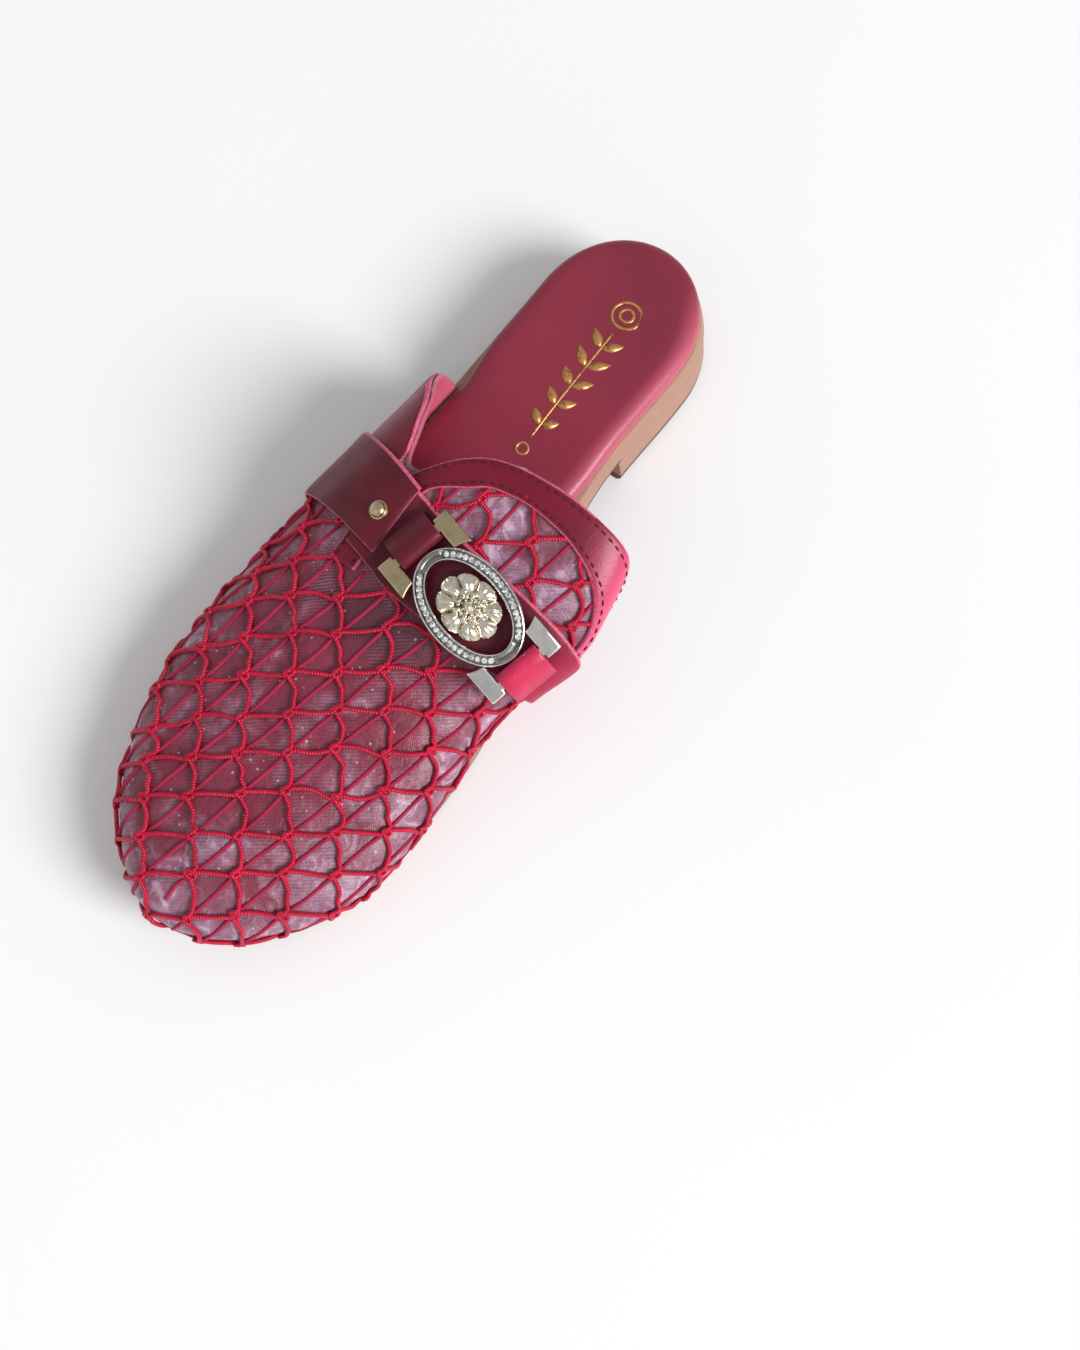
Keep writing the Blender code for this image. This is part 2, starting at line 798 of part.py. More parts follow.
class Layout:
    """Finds the skin point under a place on the flat layout."""

    def __init__(self, first):
        self.first = first
        self.samples = {OUTER: [], INNER: []}
        for side in (OUTER, INNER):
            for i in range(36):
                s = (first + (NEAR_TOE - first) * math.sin(math.pi / 2 * i / 35)) * LENGTH
                for j in range(11):
                    climb = NEAR_SOLE + (1 - NEAR_SOLE) * j / 10
                    self.samples[side].append((*unrolled(side, s, climb), s, climb))
            self.samples[side] = numpy.array(self.samples[side])

    def find(self, place):
        """Returns (s, reach) and how far the place lies off the upper."""
        near = []
        for side in (OUTER, INNER):
            offset = self.samples[side][:, :2] - numpy.array(place)
            distance = (offset ** 2).sum(axis=1)
            k = int(distance.argmin())
            near.append((float(distance[k]), side, self.samples[side][k]))
        near.sort(key=lambda item: item[0])
        if near[0][0] > (CELL_LONG / 2) ** 2:
            return 0.0, 0.0, LENGTH
        hit = self.refine(near[0], place)
        if hit[2] > CORD / 8:
            hit = min(hit, self.refine(near[1], place), key=lambda item: item[2])
        return hit

    def refine(self, start, place):
        side = start[1]
        s, climb = float(start[2][2]), float(start[2][3])
        flat = unrolled(side, s, climb)
        for _ in range(3):
            miss = place - flat
            if miss.length < CORD / 30:
                break
            along = (flat - unrolled(side, s - STEP, climb)) / STEP
            up = (flat - unrolled(side, s, climb - NUDGE)) / NUDGE
            scale = along.x * up.y - along.y * up.x
            if abs(scale) < 1e-9:
                break
            s += (miss.x * up.y - miss.y * up.x) / scale
            climb += (along.x * miss.y - along.y * miss.x) / scale
            s = min(max(s, self.first * LENGTH), NEAR_TOE * LENGTH)
            climb = min(max(climb, NEAR_SOLE), 1.0)
            flat = unrolled(side, s, climb)
        return s, side * (1 - climb), (place - flat).length


def net_lines(cell):
    """The lines across the lattice in one direction: each one's place, and whether a rib
    starts at it."""
    half = CORD / 2
    gap = (cell - CORD) / 3
    count = int(LENGTH / cell)
    lines = []
    for k in range(-count, count):
        lines += [(k * cell - half, True), (k * cell + half, False)]
        lines += [(k * cell + half + gap, False), (k * cell + half + 2 * gap, False)]
    return lines


def net(name, layout, inside, parts):
    """Corded cells: the ribs of a lattice on the flat layout, draped on the upper and
    thickened. inside(s, reach) says where the netted field is."""
    red = surface(name + "_red", (0.60, 0.02, 0.07), 0.35)
    down = Vector((math.sin(NET_TURN), -math.cos(NET_TURN)))
    beside = Vector((math.cos(NET_TURN), math.sin(NET_TURN)))
    rows, columns = net_lines(CELL_LONG), net_lines(CELL_WIDE)
    index, vertices = {}, []

    def corner(i, j):
        if (i, j) not in index:
            index[(i, j)] = None
            place = NET_START + down * rows[i][0] + beside * columns[j][0]
            if abs(place.x) < BALL and abs(place.y) < LENGTH / 2 + CELL_LONG:
                s, reach, miss = layout.find(place)
                if miss < CORD / 4 and inside(s, reach):
                    index[(i, j)] = len(vertices)
                    vertices.append(lifted(s, reach, 2 * GAP + CORD))
        return index[(i, j)]

    faces = []
    for i in range(len(rows) - 1):
        for j in range(len(columns) - 1):
            if not (rows[i][1] or columns[j][1]):
                continue
            face = [corner(i, j), corner(i, j + 1), corner(i + 1, j + 1), corner(i + 1, j)]
            if None not in face:
                faces.append(tuple(face))
    part = new_mesh(name, vertices, faces, parts, red)
    trim(part.data)
    thick = part.modifiers.new("thickness", "SOLIDIFY")
    thick.thickness = CORD
    thick.offset = -1.0
    thick.use_even_offset = False
    return part


def trim(mesh):
    """Keeps the largest connected piece of a sheet, with no two faces that share only a
    corner, and turns it face up."""
    shape = bmesh.new()
    shape.from_mesh(mesh)
    for _ in range(6):
        left = set(shape.faces)
        largest = set()
        while left:
            group, front = set(), [next(iter(left))]
            while front:
                face = front.pop()
                if face in group:
                    continue
                group.add(face)
                front += [other for edge in face.edges for other in edge.link_faces]
            left -= group
            largest = max(largest, group, key=len)
        spare = [face for face in shape.faces if face not in largest]
        bmesh.ops.delete(shape, geom=spare, context="FACES")
        pinched = [vert for vert in shape.verts if vert.link_faces and not vert.is_manifold]
        spare = list({vert.link_faces[0] for vert in pinched})
        bmesh.ops.delete(shape, geom=spare, context="FACES")
    loose = [vert for vert in shape.verts if not vert.link_faces]
    bmesh.ops.delete(shape, geom=loose, context="VERTS")
    bmesh.ops.recalc_face_normals(shape, faces=shape.faces)
    if sum(face.normal.z * face.calc_area() for face in shape.faces) < 0:
        bmesh.ops.reverse_faces(shape, faces=shape.faces)
    shape.to_mesh(mesh)
    shape.free()


def on_vamp(s, reach):
    """The netted field of the vamp starts in front of the straps and the band's end."""
    edge = smooth(STRAP_OUTER if reach < STRAP_INNER[0][0] else STRAP_INNER, 2, reach)
    if BAND[0][1] - BESIDE_BAND < reach < BAND[0][3] + BESIDE_BAND:
        edge = max(edge, BAND[0][0])
    return s > edge * LENGTH + NET_MARGIN and abs(reach) < NET_REACH


def on_tongue(s, reach):
    """The netted field of the tongue lies between the collar band and the straps."""
    front = [(row[3], row[2]) for row in BAND[2:]]
    if not front[0][0] < reach < front[-1][0]:
        return False
    behind = smooth(front, 1, reach) * LENGTH + GAP * 2
    return behind < s < smooth(STRAP_INNER, 1, reach) * LENGTH - GAP * 2


def settle(parts):
    """Moves the slipper so that the origin is on the floor at the middle of its box."""
    bpy.context.view_layer.update()
    graph = bpy.context.evaluated_depsgraph_get()
    corners = []
    for part in parts.objects:
        mesh = part.evaluated_get(graph).to_mesh()
        corners += [part.matrix_world @ vertex.co for vertex in mesh.vertices]
    low = [min(point[axis] for point in corners) for axis in range(3)]
    high = [max(point[axis] for point in corners) for axis in range(3)]
    middle = Vector(((low[0] + high[0]) / 2, (low[1] + high[1]) / 2, low[2]))
    for part in parts.objects:
        part.location -= middle


def main():
    for thing in list(bpy.data.objects):
        bpy.data.objects.remove(thing, do_unlink=True)
    parts = bpy.data.collections.new("slipper")
    bpy.context.scene.collection.children.link(parts)
    make_sole(parts)
    make_heel(parts)
    make_insole(parts)
    make_upper(parts)
    make_quarter(parts)
    make_band(parts)
    make_strap("strap_inner", STRAP_INNER, 30, parts)
    make_strap("strap_outer", STRAP_OUTER, 20, parts)
    frame = Buckle()
    make_ring(parts, frame)
    make_link(parts, frame, -1, "link_outer")
    make_link(parts, frame, 1, "link_inner")
    make_loop(parts, frame, -1, "loop_outer")
    make_loop(parts, frame, 1, "loop_inner")
    make_rosette(parts, frame)
    make_rivet(parts)
    net("net_vamp", Layout(0.50), on_vamp, parts)
    net("net_tongue", Layout(0.38), on_tongue, parts)
    settle(parts)


main()
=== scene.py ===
"""The looks of a backless slipper for the right foot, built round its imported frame.
Metres, +Z up, toe towards -Y, inner side of the foot at +X."""

import math
import random

import bmesh
import bpy
import numpy
from mathutils import Matrix, Vector
from mathutils.kdtree import KDTree


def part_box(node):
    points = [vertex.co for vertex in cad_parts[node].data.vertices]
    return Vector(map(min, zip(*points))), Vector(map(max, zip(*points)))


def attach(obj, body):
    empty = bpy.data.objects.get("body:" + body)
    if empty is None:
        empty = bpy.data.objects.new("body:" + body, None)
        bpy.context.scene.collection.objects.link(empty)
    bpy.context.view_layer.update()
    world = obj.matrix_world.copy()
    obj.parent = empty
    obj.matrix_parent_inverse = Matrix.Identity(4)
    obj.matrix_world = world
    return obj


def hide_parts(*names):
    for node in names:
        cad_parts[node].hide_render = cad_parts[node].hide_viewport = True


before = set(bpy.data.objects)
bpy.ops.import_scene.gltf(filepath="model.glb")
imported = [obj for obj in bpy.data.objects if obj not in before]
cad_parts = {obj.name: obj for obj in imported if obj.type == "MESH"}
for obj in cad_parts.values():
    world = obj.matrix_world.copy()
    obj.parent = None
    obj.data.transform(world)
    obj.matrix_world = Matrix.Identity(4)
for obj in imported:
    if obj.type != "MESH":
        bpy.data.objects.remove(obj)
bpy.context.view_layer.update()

# Driving sizes, as in the frame
LENGTH = 0.250
BALL = 0.0905
HEEL_RISE = 0.0125
SOLE_THICK = 0.0085
TOE_SPRING = 0.0065
TOE_THIN = 0.0030
SOLE_FLARE = 0.0030
SOLE_SOFT = 0.0012
SOLE_LIP = 0.0006
SOLE_TUCK = 0.0006
HEEL_ROUND = 0.031
TOE_ROUND = 0.050
INSOLE_THICK = 0.0050
INSOLE_EDGE = 0.0032
INSOLE_SETBACK = 0.0008
INSTEP = 0.0400
RIDGE_IN = 0.0120
BULGE_IN = 0.0255
BULGE_OUT = 0.0055
TOE_PUFF = 0.0035
WALL = 0.0014
GAP = 0.0003
LEATHER = 0.0012
BAND_THICK = 0.0014
RING_LONG = 0.037
RING_WIDE = 0.025
RING_BAND = 0.0038
RING_THICK = 0.0028
BUCKLE_LIFT = 0.0056
BUCKLE_BEND = 5.5
LINK_WIDTH = 0.0245
LINK_FOOT = 0.0050
LINK_REACH = 0.0058
LINK_THICK = 0.0024
BAR = 0.0026
LOOP_WIDTH = 0.0136
LOOP_BACK = 0.0098
ROSETTE = 0.0168
ROSETTE_LONG = 0.0205
ROSETTE_RISE = 0.0042
PETALS = 8
RIVET_WIDTH = 0.0056
RIVET_RISE = 0.0021
CORD = 0.0013
CELL_WIDE = 0.0131
CELL_LONG = 0.0109
NET_TURN = math.radians(36.0)
NET_START = (-0.0406, -0.0754)

# Plan of the sole: share of the length from the heel, outer and inner half width in balls
PLAN = (
    (0.00, 0.286, 0.286),
    (0.12, 0.289, 0.286),
    (0.28, 0.306, 0.266),
    (0.36, 0.330, 0.280),
    (0.44, 0.374, 0.332),
    (0.55, 0.447, 0.412),
    (0.62, 0.474, 0.449),
    (0.70, 0.480, 0.468),
    (0.78, 0.461, 0.474),
    (0.85, 0.430, 0.465),
    (0.92, 0.396, 0.438),
    (0.97, 0.345, 0.412),
    (1.00, 0.300, 0.385),
)
# Underside of the sole: share of the length, height in heel rises
ARCH = (
    (0.00, 1.00),
    (0.24, 0.95),
    (0.40, 0.50),
    (0.56, 0.00),
    (0.80, 0.00),
)
# Ridge of the upper: share of the length, height in insteps, place in ridge offsets,
# bulge of the inner side and of the outer side in their own sizes
RIDGE = (
    (0.28, 1.02, 1.00, 0.75, 0.70),
    (0.40, 0.98, 1.05, 1.00, 0.90),
    (0.48, 0.90, 1.00, 0.95, 0.80),
    (0.56, 0.80, 0.90, 0.55, 0.50),
    (0.64, 0.68, 0.65, 0.20, 0.35),
    (0.74, 0.57, 0.40, 0.06, 0.20),
    (0.84, 0.50, 0.25, 0.00, 0.00),
    (1.00, 0.46, 0.20, 0.00, 0.00),
)
# Rim of the collar: climb from sole to ridge, and the share of the length where the rim
# lies on the outer and on the inner side
RIM = (
    (0.00, 0.300, 0.370),
    (0.15, 0.312, 0.378),
    (0.30, 0.330, 0.386),
    (0.42, 0.350, 0.390),
    (0.50, 0.368, 0.391),
    (0.60, 0.411, 0.391),
    (0.68, 0.450, 0.390),
    (0.78, 0.448, 0.388),
    (0.86, 0.411, 0.386),
    (1.00, 0.390, 0.390),
)
# The collar band from its outer end over the ridge to its inner end. Each row has the
# rear edge and the front edge, as a share of the length and a reach across the upper
BAND = (
    (0.578, -0.335, 0.578, -0.225),
    (0.530, -0.345, 0.530, -0.230),
    (0.490, -0.330, 0.495, -0.220),
    (0.455, -0.272, 0.464, -0.192),
    (0.416, -0.160, 0.440, -0.090),
    (0.399, -0.070, 0.427, -0.030),
    (0.390, 0.040, 0.421, 0.070),
    (0.387, 0.160, 0.424, 0.170),
    (0.389, 0.300, 0.433, 0.270),
    (0.393, 0.440, 0.446, 0.360),
    (0.405, 0.570, 0.462, 0.430),
    (0.436, 0.650, 0.482, 0.480),
    (0.475, 0.680, 0.505, 0.510),
    (0.520, 0.680, 0.535, 0.530),
)
# The inner strap and the outer strap: reach, the share of the length at the rear and at
# the front edge, and the lift off the upper in leathers
STRAP_INNER = (
    (-0.310, 0.463, 0.554, 1.75),
    (-0.220, 0.468, 0.563, 1.70),
    (-0.175, 0.472, 0.568, 0.50),
    (-0.130, 0.477, 0.574, 0.35),
    (0.000, 0.488, 0.580, 0.30),
    (0.250, 0.499, 0.583, 0.30),
    (0.400, 0.503, 0.580, 0.60),
    (0.490, 0.505, 0.580, 1.90),
    (0.600, 0.508, 0.574, 2.20),
    (0.700, 0.510, 0.571, 1.70),
    (0.780, 0.512, 0.569, 0.70),
    (0.960, 0.514, 0.567, 0.25),
)
STRAP_OUTER = (
    (-0.970, 0.420, 0.520, 1.60),
    (-0.800, 0.426, 0.523, 1.70),
    (-0.600, 0.436, 0.528, 1.80),
    (-0.400, 0.447, 0.536, 2.80),
    (-0.300, 0.455, 0.543, 3.15),
    (-0.200, 0.465, 0.551, 3.20),
)
# The leather quarter on the outer side: reach, and its front edge as a share of length
QUARTER = (
    (-0.970, 0.455),
    (-0.700, 0.462),
    (-0.500, 0.470),
    (-0.360, 0.480),
)
BUCKLE_AT = (0.540, 0.105)
BUCKLE_AIM = ((0.523, -0.070), (0.556, 0.380))
RIVET_AT = (0.508, -0.262)
ROUNDNESS = 2.2
PLAN_ROUNDNESS = 2.1
SPINE_START = 0.62
PUFF_FROM = 0.60
PUFF_FULL = 0.80
TUCK_FULL = 0.85
BREAST = 0.255
NARROWING = 0.08
BESIDE_BAND = 0.05
OUTER, INNER = -1, 1

# The camera: the photograph's angle, with its roll, in degrees and metres
AZIMUTH = 24.0
ELEVATION = 74.695
ROLL = 11.582
DISTANCE = 0.417
AIM_HEIGHT = 0.020
ASIDE = 0.032
RAISED = -0.033
LENS_SHARE = 1429.18 / 1350
FLOOR_HALF = 6.0

# The foil mark: its place across and along, its lean, thickness and depth in the leather
MOTIF_AT = (0.0020, 0.052)
MOTIF_LEAN = -0.02
MOTIF_THICK = 0.00006
MOTIF_SUNK = 0.00040

MM = 0.001
HEEL_JOINT = 0.00006
UNDER_LEATHER = 0.0022
NET_EDGE = 0.95
MISS = 0.0006
SHORT_CORD = 9
SHORT_THREAD = 8
STEP = 0.0005
NEAR_TOE = 0.99999
CREASES = (
    (0.640, -0.62, 0.700, -0.20, 0.0030, -0.45),
    (0.690, 0.20, 0.760, 0.62, 0.0034, -0.50),
    (0.800, -0.50, 0.830, 0.05, 0.0030, -0.40),
    (0.850, 0.30, 0.900, 0.72, 0.0026, -0.40),
    (0.620, 0.30, 0.650, 0.85, 0.0036, -0.60),
    (0.610, 0.42, 0.640, 0.90, 0.0030, 0.50),
    (0.900, -0.60, 0.930, -0.05, 0.0028, 0.35),
    (0.740, -0.80, 0.780, -0.35, 0.0030, 0.35),
    (0.430, 0.75, 0.470, 0.95, 0.0030, -0.50),
)


def smooth(rows, column, at):
    """A cubic through one column of a table that never overshoots its rows."""
    xs = numpy.array([row[0] for row in rows], float)
    ys = numpy.array([row[column] for row in rows], float)
    at = numpy.clip(at, xs[0], xs[-1])
    slopes = numpy.diff(ys) / numpy.diff(xs)
    before, after = slopes[:-1], slopes[1:]
    total = numpy.where(before + after == 0, 1.0, before + after)
    inner = numpy.where(before * after > 0, 2 * before * after / total, 0.0)
    lean = numpy.concatenate((slopes[:1], inner, slopes[-1:]))
    i = numpy.clip(numpy.searchsorted(xs, at, side="right") - 1, 0, len(xs) - 2)
    step = xs[i + 1] - xs[i]
    t = (at - xs[i]) / step
    return (
        ys[i] * (1 + 2 * t) * (1 - t) ** 2
        + lean[i] * step * t * (1 - t) ** 2
        + ys[i + 1] * t * t * (3 - 2 * t)
        + lean[i + 1] * step * t * t * (t - 1)
    )


def blend(low, high, at):
    """0 below low, 1 above high, and a soft step between."""
    t = numpy.clip((numpy.asarray(at, float) - low) / (high - low), 0, 1)
    return t * t * (3 - 2 * t)


def half_width(side, s, inset=0.0):
    """Half width of the sole's plan at the distance s from the back of the heel."""
    share = numpy.clip((s - inset) / (LENGTH - 2 * inset), 0, 1)
    back = numpy.clip((HEEL_ROUND - share * LENGTH) / HEEL_ROUND, 0, 1)
    front = numpy.clip((share * LENGTH - LENGTH + TOE_ROUND) / TOE_ROUND, 0, 1)
    closing = numpy.sqrt(1 - back ** PLAN_ROUNDNESS) * numpy.sqrt(1 - front ** PLAN_ROUNDNESS)
    wide = numpy.where(side < 0, smooth(PLAN, 1, share), smooth(PLAN, 2, share)) * BALL
    return (wide - inset) * closing


def sprung(s):
    """The toe's curve up: 0 as far as the ball and 1 at the tip."""
    flat_until = ARCH[-1][0]
    return numpy.clip((numpy.asarray(s, float) / LENGTH - flat_until) / (1 - flat_until), 0, 1) ** 2


def under(s):
    """Height of the sole's underside."""
    return smooth(ARCH, 1, numpy.asarray(s, float) / LENGTH) * HEEL_RISE + TOE_SPRING * sprung(s)


def thickness(s):
    """The sole's thickness, which shrinks towards the toe."""
    return SOLE_THICK - TOE_THIN * sprung(s)


def over(s):
    """Height of the sole's upper face."""
    return under(s) + thickness(s)


def plan_loop(inset, count, first=0.0, last=1.0):
    """x and s round the sole's plan: out along the outer side, back along the inner."""
    turns = numpy.linspace(math.acos(1 - 2 * first), math.acos(1 - 2 * last), count)
    s = inset + (LENGTH - 2 * inset) * (1 - numpy.cos(turns)) / 2
    back = s[::-1]
    if last == 1.0:
        back = back[1:]
    if first == 0.0:
        back = back[:-1]
    x = numpy.concatenate((-half_width(OUTER, s, inset), half_width(INNER, back, inset)))
    return x, numpy.concatenate((s, back))


def settled():
    """The step from the source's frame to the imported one, read off the heel's box."""
    widest = plan_loop(-SOLE_FLARE, 15, last=BREAST)[0].max()
    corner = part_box("heel")[1]
    return numpy.array((corner.x - widest, corner.y - LENGTH / 2 - SOLE_FLARE, 0.0))


SHIFT = settled()


def place(x, s, z):
    """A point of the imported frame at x, s from the back of the heel, and z."""
    x, s, z = numpy.broadcast_arrays(x, s, z)
    return numpy.stack((x, LENGTH / 2 - s, z), axis=-1) + SHIFT


def spine_place(s):
    """Where on the ridge the section that starts at s on the sole's edge ends."""
    start = SPINE_START * LENGTH
    rest = LENGTH - start
    bent = start + rest * 2 / math.pi * numpy.sin(math.pi / 2 * (s - start) / rest)
    return numpy.where(s <= start, s, bent)


def skin(s, reach):
    """A point on the outer face of the upper: reach runs from -1 at the outer edge of the
    sole over 0 on the ridge to 1 at the inner edge."""
    s, reach = numpy.broadcast_arrays(numpy.asarray(s, float), numpy.asarray(reach, float))
    side = numpy.where(reach < 0, OUTER, INNER)
    ridge_s = spine_place(s)
    share = ridge_s / LENGTH
    ridge_x = smooth(RIDGE, 2, share) * RIDGE_IN
    rise = smooth(RIDGE, 1, share) * INSTEP
    bulge = numpy.where(
        side < 0, smooth(RIDGE, 4, share) * BULGE_OUT, smooth(RIDGE, 3, share) * BULGE_IN
    )
    turn = (1 - abs(reach)) * math.pi / 2
    inward = numpy.maximum(numpy.cos(turn), 0) ** (2 / ROUNDNESS)
    upward = numpy.maximum(numpy.sin(turn), 0) ** (2 / ROUNDNESS)
    edge_x = side * half_width(side, s, GAP)
    puff = TOE_PUFF * numpy.sin(numpy.minimum(3 * turn, math.pi))
    x = ridge_x + (edge_x - ridge_x) * inward + side * bulge * numpy.sin(2 * turn)
    x = x + puff * blend(PUFF_FROM, PUFF_FULL, s / LENGTH) * edge_x * 2 / BALL
    along = ridge_s + (s - ridge_s) * inward + puff * blend(PUFF_FULL, 1.0, s / LENGTH)
    return place(x, along, over(along) + GAP + rise * upward)


def normals(s, reach):
    """The way out of the upper, from small steps on its skin."""
    s, reach = numpy.broadcast_arrays(numpy.asarray(s, float), numpy.asarray(reach, float))
    nudge = 0.012
    sideways = skin(s, numpy.clip(reach + nudge, -1, 1)) - skin(s, numpy.clip(reach - nudge, -1, 1))
    ahead = numpy.minimum(s + STEP, LENGTH - STEP)
    along = skin(ahead, reach) - skin(ahead - 2 * STEP, reach)
    normal = numpy.cross(along, sideways)
    return normal / numpy.linalg.norm(normal, axis=-1, keepdims=True)


def lifted(s, reach, lift):
    return skin(s, reach) + normals(s, reach) * numpy.asarray(lift)[..., None]


def unrolled(s, reach):
    """The place of a skin point on the upper laid flat: its distance from the ridge is
    kept, in the direction of the section it lies on."""
    ridge = skin(s, numpy.zeros_like(reach))
    way = (skin(s, numpy.where(reach < 0, -1.0, 1.0)) - ridge)[..., :2]
    way = way / numpy.linalg.norm(way, axis=-1, keepdims=True)
    length = numpy.zeros_like(reach)
    last = ridge
    steps = 6
    for i in range(1, steps + 1):
        point = skin(s, reach * i / steps)
        length = length + numpy.linalg.norm(point - last, axis=-1)
        last = point
    return (ridge - SHIFT)[..., :2] + way * length[..., None]


class Layout:
    """Finds the skin point under places on the upper laid flat."""

    def __init__(self, first=0.38):
        self.first = first
        turns = numpy.linspace(0, math.pi / 2, 60)
        s = (first + (NEAR_TOE - first) * numpy.sin(turns)) * LENGTH
        reach = numpy.linspace(0.0, 0.985, 24)
        self.samples = {}
        for side in (OUTER, INNER):
            grid_s, grid_reach = (g.ravel() for g in numpy.meshgrid(s, side * reach))
            self.samples[side] = (grid_s, grid_reach, unrolled(grid_s, grid_reach))

    def find(self, places):
        """Returns s, reach and how far each place lies off the upper."""
        places = numpy.asarray(places, float)
        found = []
        for side in (OUTER, INNER):
            grid_s, grid_reach, flat = self.samples[side]
            nearest = ((places[:, None, :] - flat[None]) ** 2).sum(-1).argmin(1)
            found.append(self.refine(side, grid_s[nearest], grid_reach[nearest], places))
        outer_first = found[0][2] <= found[1][2]
        return tuple(numpy.where(outer_first, a, b) for a, b in zip(*found))

    def refine(self, side, s, reach, places):
        nudge = 0.01
        for _ in range(6):
            flat = unrolled(s, reach)
            miss = places - flat
            along = (flat - unrolled(s - STEP, reach)) / STEP
            out = (unrolled(s, reach + side * nudge) - flat) / (side * nudge)
            scale = along[:, 0] * out[:, 1] - along[:, 1] * out[:, 0]
            scale = numpy.where(abs(scale) < 1e-9, 1e-9, scale)
            s = s + (miss[:, 0] * out[:, 1] - miss[:, 1] * out[:, 0]) / scale
            reach = reach + (along[:, 0] * miss[:, 1] - along[:, 1] * miss[:, 0]) / scale
            s = numpy.clip(s, self.first * LENGTH, NEAR_TOE * LENGTH)
            reach = side * numpy.clip(side * reach, 0.0, 0.985)
        return s, reach, numpy.linalg.norm(places - unrolled(s, reach), axis=-1)


# Mesh helpers


def finish_piece(name, mesh, materials, sharp=40):
    for material in materials:
        mesh.materials.append(material)
    mesh.shade_smooth()
    mesh.set_sharp_from_angle(angle=math.radians(sharp))
    made = bpy.data.objects.new(name, mesh)
    bpy.context.scene.collection.objects.link(made)
    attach(made, "root")
    return made


def build(name, points, faces, materials, indices=None, sharp=40, out=True):
    """A piece from points and faces, with one material index for each face."""
    mesh = bpy.data.meshes.new(name)
    mesh.from_pydata([tuple(p) for p in points], [], [tuple(f) for f in faces])
    if indices is not None:
        mesh.polygons.foreach_set("material_index", list(indices))
    if out:
        shape = bmesh.new()
        shape.from_mesh(mesh)
        bmesh.ops.recalc_face_normals(shape, faces=shape.faces)
        shape.to_mesh(mesh)
        shape.free()
    return finish_piece(name, mesh, materials, sharp)


def grid_faces(rows, columns, first=0, flip=False):
    """The faces of a grid of points, row by row."""
    faces = []
    for r in range(rows - 1):
        for c in range(columns - 1):
            a = first + r * columns + c
            face = (a, a + 1, a + columns + 1, a + columns)
            faces.append(face[::-1] if flip else face)
    return faces


def slab(name, low, high, materials, sharp=60, highlight_line=(0.0, 0.0)):
    """A thin closed solid between two grids of points. Its border takes the second
    material, the cut edge, and so does a painted highlight line on the top face: its width at the rear and
    the front."""
    rows, columns = low.shape[:2]
    count = rows * columns
    points = numpy.concatenate((low.reshape(-1, 3), high.reshape(-1, 3)))
    faces = grid_faces(rows, columns) + grid_faces(rows, columns, count, flip=True)
    border = [c for c in range(columns)]
    border += [r * columns + columns - 1 for r in range(1, rows)]
    border += [(rows - 1) * columns + c for c in range(columns - 2, -1, -1)]
    border += [r * columns for r in range(rows - 2, 0, -1)]
    travel = numpy.linalg.norm(numpy.diff(high, axis=1), axis=2).cumsum(axis=1)
    middle = travel - numpy.diff(travel, axis=1, prepend=0.0) / 2
    # Painted highlight: a thin line of the top face along the rear and front edges takes the cut edge's pink.
    highlit = (middle < highlight_line[0]) | (travel[:, -1:] - middle < highlight_line[1])
    indices = [0] * (len(faces) // 2) + [int(mark) for mark in highlit[:-1].ravel()]
    for i, a in enumerate(border):
        b = border[(i + 1) % len(border)]
        faces.append((b, a, count + a, count + b))
        indices.append(1)
    return build(name, points, faces, materials, indices, sharp)


def from_edges(count):
    """Shares from 0 to 1, close together near both ends."""
    t = numpy.linspace(0, 1, count)
    return 0.5 - 0.5 * numpy.cos(math.pi * t) * (1 - 0.35 * numpy.sin(math.pi * t) ** 2)


def rows_of(table, count):
    """Values of every column of a table at count even places of its first column."""
    at = numpy.linspace(table[0][0], table[-1][0], count)
    return [smooth(table, c, at) for c in range(len(table[0]))]


def edge_drop(share, amount, width=0.10):
    """How far a strip's upper face falls towards its two edges."""
    near = numpy.minimum(share, 1 - share) / width
    return amount * (1 - numpy.sqrt(1 - (1 - numpy.clip(near, 0, 1)) ** 2))


